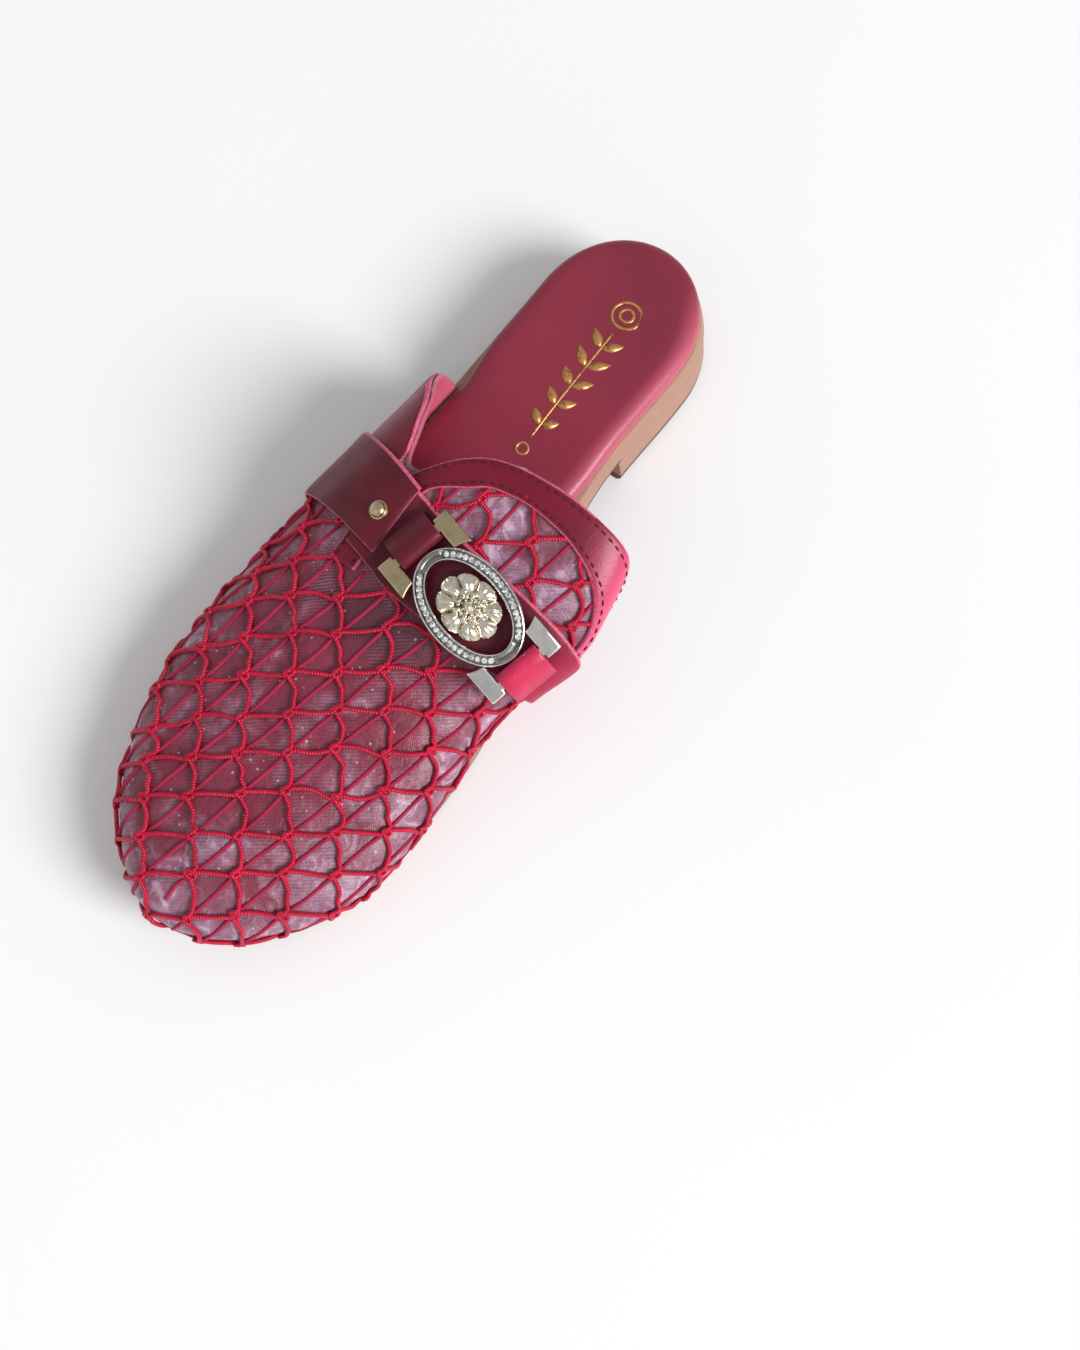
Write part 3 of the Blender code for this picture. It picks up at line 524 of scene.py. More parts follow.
def tube(name, paths, radii, material, sides=8, closed=False, sharp=180):
    """Round cords along paths. Each path is (points, ways out); its u runs along the cord
    in metres and its v round it."""
    points, faces, us, vs = [], [], [], []
    turns = numpy.arange(sides) * 2 * math.pi / sides
    for (line, outs), radius in zip(paths, radii):
        line = numpy.asarray(line)
        if closed:
            ahead = numpy.roll(line, -1, 0) - numpy.roll(line, 1, 0)
        else:
            ahead = numpy.gradient(line, axis=0)
        ahead = ahead / numpy.linalg.norm(ahead, axis=1, keepdims=True)
        beside = numpy.cross(ahead, outs)
        beside = beside / numpy.linalg.norm(beside, axis=1, keepdims=True)
        up = numpy.cross(beside, ahead)
        base = len(points)
        count = len(line)
        radius = numpy.broadcast_to(radius, (count,))
        ring = (
            line[:, None, :]
            + beside[:, None, :] * (numpy.cos(turns)[None, :, None] * radius[:, None, None])
            + up[:, None, :] * (numpy.sin(turns)[None, :, None] * radius[:, None, None])
        )
        points.extend(ring.reshape(-1, 3))
        travel = numpy.concatenate(((0.0,), numpy.linalg.norm(numpy.diff(line, axis=0), axis=1).cumsum()))
        for i in range(count if closed else count - 1):
            k = (i + 1) % count
            here = travel[i]
            there = travel[i + 1] if i + 1 < count else here + travel[1]
            for j in range(sides):
                m = (j + 1) % sides
                faces.append((base + i * sides + j, base + i * sides + m,
                              base + k * sides + m, base + k * sides + j))
                us.extend((here, here, there, there))
                vs.extend((j / sides, (j + 1) / sides, (j + 1) / sides, j / sides))
        if not closed:
            for first, flip in ((base, True), (base + (count - 1) * sides, False)):
                face = tuple(first + j for j in range(sides))
                faces.append(face[::-1] if flip else face)
                us.extend([0.0] * sides)
                vs.extend([0.0] * sides)
    mesh = bpy.data.meshes.new(name)
    mesh.from_pydata([tuple(p) for p in points], [], faces)
    layer = mesh.uv_layers.new(name="UVMap")
    layer.data.foreach_set("uv", numpy.stack((us, vs), axis=-1).ravel())
    return finish_piece(name, mesh, [material], sharp)


# Material helpers


def add(tree, kind, inputs=None, **settings):
    """A shader node with its settings and its inputs, which are values or sockets."""
    made = tree.nodes.new("ShaderNode" + kind)
    for key, value in settings.items():
        setattr(made, key, value)
    for key, value in (inputs or {}).items():
        if isinstance(value, bpy.types.NodeSocket):
            tree.links.new(value, made.inputs[key])
        else:
            made.inputs[key].default_value = value
    return made


def new_material(name, **values):
    """A Principled material. Underscores in the values' names stand for spaces."""
    made = bpy.data.materials.new(name)
    made.use_nodes = True
    shader = made.node_tree.nodes["Principled BSDF"]
    for key, value in values.items():
        shader.inputs[key.replace("_", " ")].default_value = value
    return made, made.node_tree, shader


def feed(shader, **sockets):
    """Links sockets to the shader's inputs. Underscores in their names stand for spaces."""
    for key, value in sockets.items():
        shader.id_data.links.new(value, shader.inputs[key.replace("_", " ")])


def spot(tree, kind="Object"):
    return add(tree, "TexCoord").outputs[kind]


def lit(tree):
    """The piece's attribute lit, which carries painted light and shade, as mark_lit and make_upper write it.
    """
    return add(tree, "Attribute", attribute_name="lit").outputs["Fac"]


def noise(tree, where, scale, detail=3.0, rough=0.55, distort=0.0):
    values = {"Vector": where, "Scale": scale, "Detail": detail, "Roughness": rough}
    return add(tree, "TexNoise", {**values, "Distortion": distort}).outputs["Fac"]


def cells(tree, where, scale, feature="F1", output="Distance"):
    values = {"Vector": where, "Scale": scale}
    return add(tree, "TexVoronoi", values, feature=feature).outputs[output]


def ramp(tree, value, stops):
    """A colour ramp: stops are (place, colour)."""
    made = add(tree, "ValToRGB", {"Fac": value})
    band = made.color_ramp
    while len(band.elements) < len(stops):
        band.elements.new(0.5)
    for element, (at, colour) in zip(band.elements, stops):
        element.position = at
        element.color = (*colour, 1.0)
    return made.outputs["Color"]


def levels(tree, value, low, high, to_low=0.0, to_high=1.0):
    values = {"Value": value, "From Min": low, "From Max": high}
    return add(tree, "MapRange", {**values, "To Min": to_low, "To Max": to_high}).outputs["Result"]


def mixed(tree, share, one, other, how="MIX"):
    made = tree.nodes.new("ShaderNodeMix")
    made.data_type = "RGBA"
    made.blend_type = how
    for key, value in ((0, share), (6, one), (7, other)):
        if isinstance(value, bpy.types.NodeSocket):
            tree.links.new(value, made.inputs[key])
        elif key == 0:
            made.inputs[key].default_value = value
        else:
            made.inputs[key].default_value = (*value, 1.0)
    return made.outputs[2]


def maths(tree, how, one, other=0.0):
    return add(tree, "Math", {0: one, 1: other}, operation=how).outputs[0]


def bump(tree, shader, height, depth, after=None):
    """Bump of a real depth in metres. Returns the normal, for another bump on it."""
    values = {"Height": height, "Distance": depth, "Strength": 1.0}
    if after is not None:
        values["Normal"] = after
    normal = add(tree, "Bump", values).outputs["Normal"]
    tree.links.new(normal, shader.inputs["Normal"])
    return normal


def leather(name, light, deep, roughness=0.42, coat=0.12, grain=1.0, sheen=0.25, painted_bright=None):
    """Dyed smooth leather: soft tone changes, fine pebbled grain and pores. Where the
    piece's attribute lit is 1 it turns to the brighter colour as painted light."""
    made, tree, shader = new_material(
        name, Coat_Weight=coat, Coat_Roughness=0.25, Specular_IOR_Level=0.28,
        Sheen_Weight=sheen, Sheen_Roughness=0.35, Sheen_Tint=(1.0, 0.36, 0.50, 1.0),
    )
    where = spot(tree)
    tone = noise(tree, where, 85.0, 4.0, 0.6)
    fine = noise(tree, where, 900.0, 2.0)
    colour = ramp(tree, tone, ((0.30, deep), (0.72, light)))
    colour = mixed(tree, levels(tree, fine, 0.35, 0.75, 0.0, 0.22), colour, deep)
    # Painted light: the colour turns brighter where the attribute lit rises.
    if painted_bright is not None:
        colour = mixed(tree, lit(tree), colour, painted_bright)
    gloss = levels(tree, tone, 0.2, 0.8, roughness + 0.08, roughness - 0.06)
    feed(shader, Base_Color=colour, Roughness=gloss)
    pebble = cells(tree, where, 1500.0, "SMOOTH_F1")
    normal = bump(tree, shader, pebble, 0.00006 * grain)
    bump(tree, shader, noise(tree, where, 260.0, 3.0), 0.00012 * grain, normal)
    return made


def cut_edge_highlight():
    """The pink edge of the cut leather: partly the raw edge's own colour, partly a painted highlight along
    it.
    """
    made, tree, shader = new_material("cut_edge_highlight", Roughness=0.55)
    where = spot(tree)
    fibre = noise(tree, where, 1400.0, 3.0)
    feed(shader, Base_Color=ramp(tree, fibre, ((0.3, (0.44, 0.045, 0.11)), (0.7, (0.74, 0.15, 0.25)))))
    bump(tree, shader, fibre, 0.00008)
    return made


def cord_finish(name, light, deep, twist=0.0016, roughness=0.38):
    """Twisted satin cord: its strands wind round it, by the piece's own u and v, with painted shade in the
    grooves between them.
    """
    made, tree, shader = new_material(
        name, Roughness=roughness, Specular_IOR_Level=0.35,
        Sheen_Weight=0.25, Sheen_Roughness=0.4, Sheen_Tint=(1.0, 0.20, 0.36, 1.0),
    )
    parts = add(tree, "SeparateXYZ", {0: spot(tree, "UV")})
    along = maths(tree, "DIVIDE", parts.outputs["X"], twist)
    phase = maths(tree, "MULTIPLY", maths(tree, "ADD", along, parts.outputs["Y"]), 4 * math.pi)
    strand = levels(tree, maths(tree, "SINE", phase), -1.0, 1.0)
    tone = noise(tree, spot(tree), 160.0, 3.0)
    colour = ramp(tree, tone, ((0.3, deep), (0.7, light)))
    # Painted shade: the colour darkens in the grooves between the strands.
    feed(shader, Base_Color=mixed(tree, levels(tree, strand, 0.0, 0.5, 0.45, 0.0), colour, deep))
    bump(tree, shader, strand, 0.00016)
    return made


def organza():
    """Fine mesh over glossy organza: mauve, with the red insole showing through it, moire
    lines, and specks painted pale as glints. It is paler on the inner side as painted light
    and darker in front of the ring as painted shadow. Its UV is the upper laid flat, in metres."""
    made, tree, shader = new_material(
        "organza", Coat_Weight=0.14, Coat_Roughness=0.16, Specular_IOR_Level=0.42,
        Sheen_Weight=0.2, Sheen_Roughness=0.35,
    )
    flat = spot(tree, "UV")
    where = spot(tree)
    patch = noise(tree, where, 62.0, 3.0, 0.5, 0.6)
    veil = noise(tree, where, 190.0, 4.0, 0.6, 1.2)
    mauve = ramp(tree, veil, (
        (0.25, (0.150, 0.050, 0.085)), (0.52, (0.32, 0.160, 0.24)), (0.74, (0.76, 0.56, 0.74)),
    ))
    red = ramp(tree, veil, ((0.3, (0.145, 0.007, 0.024)), (0.7, (0.255, 0.016, 0.050))))
    # depth is the attribute lit: how pale the cloth reads, with painted light on the inner side and, below 0,
    # painted shadow.
    depth = lit(tree)
    shown = maths(tree, "ADD", levels(tree, patch, 0.38, 0.62, -0.40, 0.40), depth)
    colour = mixed(tree, shown, red, mauve)
    # Painted shadow: the cloth turns a near black red where the attribute falls below 0, in front of the
    # ring.
    colour = mixed(tree, levels(tree, depth, -0.55, -0.05, 1.0, 0.0), colour, (0.080, 0.006, 0.020))

    def wave(turn, scale, distort, detail_scale, **settings):
        """Even bands across the flat layout, turned."""
        turned = add(tree, "Mapping", {"Vector": flat, "Rotation": (0.0, 0.0, turn)}).outputs[0]
        values = {"Vector": turned, "Scale": scale, "Distortion": distort}
        values.update({"Detail": 1.0, "Detail Scale": detail_scale})
        return add(tree, "TexWave", values, **settings).outputs["Fac"]

    one, other = (wave(math.radians(turn), 560.0, 0.4, 2.0) for turn in (45, -45))
    net = maths(tree, "MAXIMUM", one, other)
    colour = mixed(tree, levels(tree, net, 0.55, 0.95, 0.0, 0.14), colour, (0.40, 0.20, 0.28))
    moire = wave(-NET_TURN, 330.0, 2.6, 0.3, bands_direction="Y")
    streaks = maths(tree, "MULTIPLY", levels(tree, moire, 0.55, 0.90), levels(tree, patch, 0.42, 0.58))
    colour = mixed(tree, maths(tree, "MULTIPLY", streaks, 0.18), colour, (0.60, 0.38, 0.50))
    # Painted glints: a few specks turn pale lilac.
    speck = cells(tree, where, 620.0)
    pick = cells(tree, where, 620.0, output="Color")
    chosen = maths(tree, "GREATER_THAN", add(tree, "SeparateColor", {0: pick}).outputs[0], 0.88)
    painted_glint = maths(tree, "MULTIPLY", levels(tree, speck, 0.16, 0.26, 1.0, 0.0), chosen)
    colour = mixed(tree, maths(tree, "MULTIPLY", painted_glint, 0.5), colour, (0.80, 0.60, 0.68))
    feed(shader, Base_Color=colour, Roughness=levels(tree, veil, 0.3, 0.7, 0.46, 0.28))
    normal = bump(tree, shader, net, 0.00004)
    bump(tree, shader, veil, 0.00060, normal)
    return made


def insole_finish():
    """Padded crimson leather, smooth, with a fine grain and soft tone changes, and a pink painted highlight
    where the attribute lit rises.
    """
    made, tree, shader = new_material(
        "insole_leather", Coat_Weight=0.30, Coat_Roughness=0.24, Specular_IOR_Level=0.4,
        Sheen_Weight=0.35, Sheen_Roughness=0.3, Sheen_Tint=(1.0, 0.40, 0.52, 1.0),
    )
    where = spot(tree)
    tone = noise(tree, where, 24.0, 3.0, 0.5)
    fine = noise(tree, where, 1300.0, 2.0)
    colour = ramp(tree, tone, ((0.30, (0.205, 0.010, 0.032)), (0.70, (0.270, 0.015, 0.042))))
    colour = mixed(tree, levels(tree, fine, 0.4, 0.8, 0.0, 0.25), colour, (0.17, 0.010, 0.028))
    # Painted highlight: pink where the attribute lit rises, along the inner side's rolled edge.
    colour = mixed(tree, lit(tree), colour, (0.66, 0.12, 0.20))
    feed(shader, Base_Color=colour, Roughness=levels(tree, fine, 0.3, 0.7, 0.44, 0.52))
    normal = bump(tree, shader, cells(tree, where, 1700.0, "SMOOTH_F1"), 0.00004)
    bump(tree, shader, noise(tree, where, 70.0, 3.0), 0.00030, normal)
    return made


def sole_finish(name, light, deep):
    """The sole's cut side: tan, with fine lines along it, small pits and soft stains."""
    made, tree, shader = new_material(name, Roughness=0.55, Specular_IOR_Level=0.35)
    where = spot(tree)
    stretched = add(tree, "Mapping", {"Vector": where, "Scale": (0.25, 0.25, 3.0)}).outputs[0]
    streak = noise(tree, stretched, 420.0, 3.0)
    stain = noise(tree, where, 70.0, 4.0, 0.6)
    colour = ramp(tree, streak, ((0.3, deep), (0.7, light)))
    feed(shader, Base_Color=mixed(tree, levels(tree, stain, 0.5, 0.8, 0.0, 0.35), colour, deep))
    normal = bump(tree, shader, streak, 0.00006)
    bump(tree, shader, noise(tree, where, 900.0, 2.0), 0.00005, normal)
    return made


def metal(name, colour, worn, roughness=0.16):
    """Cast and plated metal, polished, with faint waves and darker worn patches."""
    made, tree, shader = new_material(name, Metallic=1.0)
    where = spot(tree)
    tone = noise(tree, where, 260.0, 3.0, 0.5)
    colour = ramp(tree, tone, ((0.26, worn), (0.50, colour)))
    feed(shader, Base_Color=colour, Roughness=levels(tree, tone, 0.3, 0.7, roughness + 0.12, roughness))
    bump(tree, shader, noise(tree, where, 240.0, 2.0), 0.00010)
    return made


def stone_finish():
    """Clear cut stones, some of them dull."""
    made, tree, shader = new_material(
        "stone", Roughness=0.04, IOR=2.1, Coat_Weight=0.6, Coat_Roughness=0.03, Metallic=0.35
    )
    tone = noise(tree, spot(tree), 900.0, 1.0)
    feed(shader, Base_Color=ramp(tree, tone, ((0.35, (0.30, 0.31, 0.30)), (0.60, (0.88, 0.88, 0.86)))))
    return made


def foil_finish():
    """Gold foil pressed in the leather, a little rubbed."""
    made, tree, shader = new_material("foil", Roughness=0.34)
    rub = noise(tree, spot(tree), 700.0, 3.0)
    colour = ramp(tree, rub, ((0.34, (0.28, 0.05, 0.04)), (0.46, (0.56, 0.29, 0.09))))
    feed(shader, Base_Color=colour, Metallic=levels(tree, rub, 0.34, 0.46, 0.0, 0.55))
    return made


# The sole, the heel and the insole


def stacked(name, loops, materials, index_of, sharp=50):
    """A solid through stacked loops, bottom first, closed by strips that run across."""
    size = len(loops[0])
    points = numpy.concatenate(loops)
    faces, indices = [], []
    for k in range(len(loops) - 1):
        for i in range(size):
            j = (i + 1) % size
            faces.append((k * size + j, k * size + i, (k + 1) * size + i, (k + 1) * size + j))
            indices.append(index_of(k))
    last = len(loops) - 1
    for base, flip, index in ((0, False, index_of(-1)), (last * size, True, index_of(last))):
        low, high = 0, size
        while high - low > 1:
            face = [base + low, base + low + 1, base + high - 1, base + high % size]
            if low + 1 == high - 1:
                face.pop(2)
            elif high % size == low:
                face.pop(3)
            faces.append(tuple(face[::-1] if flip else face))
            indices.append(index)
            low, high = low + 1, high - 1
    return build(name, points, faces, materials, indices, sharp)


def make_sole(tan, dark):
    """The sole: a thin dark runner below, the tan side with its welt groove above."""
    steps = (
        (SOLE_SOFT - SOLE_FLARE / 2, 0.0),
        (0.0004 - SOLE_FLARE / 2, 0.03),
        (-SOLE_FLARE / 2, 0.09),
        (-SOLE_FLARE / 2, 0.15),
        (0.0002 - SOLE_FLARE / 2, 0.165),
        (0.0002 - SOLE_FLARE / 2, 0.18),
        (-SOLE_FLARE * 0.46, 0.20),
        (-SOLE_FLARE * 0.36, 0.40),
        (-SOLE_FLARE * 0.24, 0.60),
        (-SOLE_FLARE * 0.12, 0.74),
        (0.0, 0.80),
        (0.0, 0.92),
        (SOLE_LIP * 0.35, 0.975),
        (SOLE_LIP, 1.0),
    )
    loops = []
    for inset, share in steps:
        x, s = plan_loop(inset, 130)
        flared = place(x, s, under(s) + thickness(s) * share)
        if share < 0.2:
            x, s = plan_loop(-SOLE_FLARE / 2, 130)
            seated = place(x, s, under(s) + thickness(s) * share)
            flared = numpy.where((s < BREAST * LENGTH)[:, None], seated, flared)
        x, s = plan_loop(max(inset, 0) + SOLE_TUCK, 130)
        tucked = place(x, s, under(s) + thickness(s) * share)
        loops.append(flared + (tucked - flared) * blend(PUFF_FROM, TUCK_FULL, s / LENGTH)[:, None])
    made = stacked("sole_body", loops, [tan, dark], lambda k: 1 if k < 4 else 0)
    breast_y = LENGTH / 2 - BREAST * LENGTH
    for face in made.data.polygons:
        if face.material_index == 1 and face.center.y > breast_y and abs(face.normal.z) < 0.9:
            face.material_index = 0
    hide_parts("sole")


def make_heel(tan, dark):
    """The low heel block with a dark top piece on the floor."""
    steps = (
        (SOLE_SOFT - SOLE_FLARE, 0.0),
        (0.0004 - SOLE_FLARE, 0.03),
        (-SOLE_FLARE, 0.08),
        (-SOLE_FLARE, 0.20),
        (0.0003 - SOLE_FLARE, 0.215),
        (0.0003 - SOLE_FLARE, 0.235),
        (-SOLE_FLARE * 0.96, 0.25),
        (-SOLE_FLARE * 0.80, 0.55),
        (-SOLE_FLARE * 0.52, 0.97),
        (-SOLE_FLARE * 0.50, 1.0),
    )
    loops = []
    for inset, share in steps:
        x, s = plan_loop(inset, 60, last=BREAST)
        loops.append(place(x, s, (under(s) - HEEL_JOINT) * share))
    made = stacked("heel_block", loops, [tan, dark], lambda k: 1 if k < 4 else 0)
    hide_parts("heel")


def insole_point(s, side, pull, share, dish=0.0):
    """A point of the insole: pull inwards from its edge, share of its thickness."""
    rim = numpy.where(side < 0, RIM[0][1], RIM[0][2])
    covered = blend(0.0, 1.0, (s / LENGTH - rim) / NARROWING + 1)
    inset = INSOLE_SETBACK + (WALL + INSOLE_SETBACK) * covered + pull
    along = inset + (LENGTH - 2 * inset) * s / LENGTH
    x = side * half_width(side, along, inset)
    return place(x, along, over(along) + GAP + INSOLE_THICK * share - dish)


def make_insole(red):
    """The padded insole: a rolled edge and a slight dish."""
    steps = (
        (0.12, 0.0, 0.0), (0.0, 0.15, 0.0), (0.0, 0.32, 0.0), (0.04, 0.48, 0.0), (0.12, 0.61, 0.0),
        (0.25, 0.73, 0.0), (0.45, 0.83, 0.0), (0.70, 0.905, 0.0), (1.0, 0.955, 0.0), (1.4, 0.985, 0.0),
        (1.9, 1.0, 0.0), (2.8, 1.0, 0.00012), (4.4, 1.0, 0.00028), (6.5, 1.0, 0.00045),
    )
    x, s = plan_loop(0.0, 130)
    side = numpy.where(x < 0, OUTER, INNER)
    loops = [insole_point(s, side, pull * INSOLE_EDGE, share, dish) for pull, share, dish in steps]
    made = stacked("insole_pad", loops, [red], lambda k: 0, sharp=60)
    # Painted highlight along the inner side's rolled edge, where the lamp catches it.
    painted_highlight = [0.62 * blend(0.012, 0.028, x) * blend(0.0068, 0.0008, pull * INSOLE_EDGE) for pull, _, _ in steps]
    mark_lit(made.data, numpy.concatenate(painted_highlight))
    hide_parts("insole")


def make_motif(foil):
    """A plain foil mark on the insole: a ring, then a stem with paired leaves."""
    shapes = []

    def ring(s, radius, band):
        inner, outer = [], []
        for i in range(40):
            turn = 2 * math.pi * i / 40
            inner.append(((radius - band) * math.cos(turn), s + (radius - band) * math.sin(turn)))
            outer.append((radius * math.cos(turn), s + radius * math.sin(turn)))
        for i in range(40):
            j = (i + 1) % 40
            shapes.append((inner[i], outer[i], outer[j], inner[j]))

    def leaf(s, side, long, wide):
        """A leaf from the stem at s, pointing outwards and towards the heel."""
        lean = math.radians(48)
        tip = 9
        left, right = [], []
        for i in range(tip + 1):
            t = i / tip
            bow = wide * math.sin(math.pi * t ** 0.8)
            a, b = 0.0006 + long * t, bow / 2
            for line, sign in ((left, 1), (right, -1)):
                across = a * math.sin(lean) + sign * b * math.cos(lean)
                along = -a * math.cos(lean) + sign * b * math.sin(lean)
                line.append((side * across, s + along))
        for i in range(tip):
            shapes.append((left[i], left[i + 1], right[i + 1], right[i]))

    ring(MOTIF_AT[1] - 0.0245, 0.0050, 0.0009)
    ring(MOTIF_AT[1] - 0.0245, 0.0026, 0.0009)
    leaves = 5
    for i in range(leaves):
        s = MOTIF_AT[1] - 0.0105 + i * 0.0078
        for side in (OUTER, INNER):
            leaf(s, side, 0.0074 - 0.0006 * abs(i - 1), 0.0030)
    stem = 24
    for i in range(stem):
        a, b = (MOTIF_AT[1] - 0.0170 + 0.0420 * k / stem for k in (i, i + 1))
        shapes.append(((-0.00035, a), (0.00035, a), (0.00035, b), (-0.00035, b)))
    ring(MOTIF_AT[1] + 0.0290, 0.0022, 0.0008)
    top = INSOLE_THICK + GAP
    points, faces = [], []
    for shape in shapes:
        base = len(points)
        for across, s in shape:
            x = MOTIF_AT[0] + across + (s - MOTIF_AT[1]) * MOTIF_LEAN
            points.append(place(x, s, over(s) + top + MOTIF_THICK - MOTIF_SUNK))
        faces.append((base, base + 1, base + 2, base + 3))
    mesh = bpy.data.meshes.new("foil_mark")
    mesh.from_pydata([tuple(p) for p in points], [], faces)
    shape = bmesh.new()
    shape.from_mesh(mesh)
    bmesh.ops.remove_doubles(shape, verts=shape.verts, dist=0.00001)
    bmesh.ops.recalc_face_normals(shape, faces=shape.faces)
    for face in shape.faces:
        if face.normal.z < 0:
            face.normal_flip()
    shape.to_mesh(mesh)
    shape.free()
    made = finish_piece("foil_mark", mesh, [foil])
    body = made.modifiers.new("thickness", "SOLIDIFY")
    body.thickness = MOTIF_THICK * 1.6
    body.offset = -1.0


# The upper, its net and its leather


def creased(s, reach):
    """How far the cloth stands off its even skin: soft troughs and ridges at listed places,
    small gathers along the sole's edge, and a slow wave."""
    flat = skin(s, reach)
    lift = numpy.zeros(flat.shape[:-1])
    for share_a, reach_a, share_b, reach_b, width, depth in CREASES:
        a, b = skin(share_a * LENGTH, reach_a), skin(share_b * LENGTH, reach_b)
        line = b - a
        t = numpy.clip(((flat - a) @ line) / (line @ line), 0, 1)
        bow = numpy.sin(math.pi * t)
        off = numpy.linalg.norm(flat - a - t[..., None] * line, axis=-1)
        lift += depth * MM * numpy.exp(-(off / width) ** 2) * (0.35 + 0.65 * bow)
    near_edge = blend(0.72, 0.97, abs(reach))
    lift += 0.22 * MM * near_edge * numpy.sin(s / LENGTH * 260 + 3 * numpy.sin(s / LENGTH * 37))
    lift += 0.20 * MM * numpy.sin(flat[..., 0] * 210 + 1.3) * numpy.sin(flat[..., 1] * 170)
    return lift


def rim_at(reach):
    """Where the collar's rim lies along the slipper, for a reach across the upper."""
    climb = 1 - abs(reach)
    return numpy.where(reach < 0, smooth(RIM, 1, climb), smooth(RIM, 2, climb)) * LENGTH


def make_upper(cloth, lining, veil, lines):
    """The hollow cloth wall from rim to toe, pressed in where the cords lie. Inside it
    has the lining, on the outer side, and the veil, on the inner side."""
    long, high = 150, 64
    index, s_of, reach_of = {}, [], []

    def shared(side, i, j):
        return (0 if i == 0 or j == high else side, i, j)

    front = LENGTH - GAP
    climbs = [0.5 - 0.5 * math.cos(math.pi * j / high) for j in range(high + 1)]
    rims = {
        side: smooth(RIM, 1 if side == OUTER else 2, numpy.array(climbs)) * LENGTH
        for side in (OUTER, INNER)
    }
    for side in (OUTER, INNER):
        for i in range(long + 1):
            spread = 1 - math.cos(i / long * math.pi / 2)
            for j in range(high + 1):
                key = shared(side, i, j)
                if key in index:
                    continue
                index[key] = len(s_of)
                s_of.append(front - (front - rims[side][j]) * spread)
                reach_of.append(side * (1 - climbs[j]))
    s, reach = numpy.array(s_of), numpy.array(reach_of)
    base = skin(s, reach)
    lift = (creased(s, reach) + press(base, lines)) * blend(0.0, 0.012, s - rim_at(reach))
    points = base + normals(s, reach) * lift[:, None]
    faces = []
    for side in (OUTER, INNER):
        for i in range(long):
            for j in range(high):
                corners = ((i, j), (i + 1, j), (i + 1, j + 1), (i, j + 1))
                quad = [index[shared(side, a, b)] for a, b in corners]
                faces.append(tuple(quad if side == INNER else quad[::-1]))
    mesh = bpy.data.meshes.new("upper_cloth")
    mesh.from_pydata([tuple(p) for p in points], [], faces)
    flat = unrolled(s, reach)
    layer = mesh.uv_layers.new(name="UVMap")
    corners = numpy.array([v for face in faces for v in face])
    layer.data.foreach_set("uv", flat[corners].ravel())
    # The attribute lit: how pale the cloth reads, with painted light on the inner side and painted shadow in
    # front of the ring.
    mark_lit(mesh, paleness_and_painted_light(s, reach))
    mesh.polygons.foreach_set("material_index", [0 if k < long * high else 2 for k in range(len(faces))])
    made = finish_piece("upper_cloth", mesh, [cloth, lining, cloth, veil])
    wall = made.modifiers.new("wall", "SOLIDIFY")
    wall.material_offset = 1
    wall.material_offset_rim = 1
    wall.thickness = WALL
    wall.offset = -1.0
    wall.use_even_offset = False
    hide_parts("upper")


def paleness_and_painted_light(s, reach):
    """Where the cloth reads pale, not red: at the sole's edge and the toe; paler on the inner side as painted
    light, and below 0 in front of the ring as painted shadow.
    """
    share = s / LENGTH
    edge = blend(0.50, 0.88, abs(reach))
    toe = blend(0.90, 0.99, share)
    # Painted light: the inner side, which faces the lamp, reads paler.
    inner = blend(0.30, 0.70, reach)
    tongue = blend(0.52, 0.48, share)
    # Painted shadow of the ring and straps, on the cloth in front of the ring.
    beside = numpy.exp(-((share - 0.610) / 0.045) ** 2 - ((reach + 0.05) / 0.30) ** 2)
    return 0.12 + 0.65 * edge + 0.40 * toe + 0.50 * inner + 0.60 * tongue - 0.75 * beside


def press(points, lines):
    """The cloth sinks under the cords and puffs a little between them."""
    tree = KDTree(len(lines))
    for i, point in enumerate(lines):
        tree.insert(point, i)
    tree.balance()
    off = numpy.array([tree.find(point)[2] for point in points])
    return 0.30 * MM * blend(0.0008, 0.0045, off) - 0.10 * MM


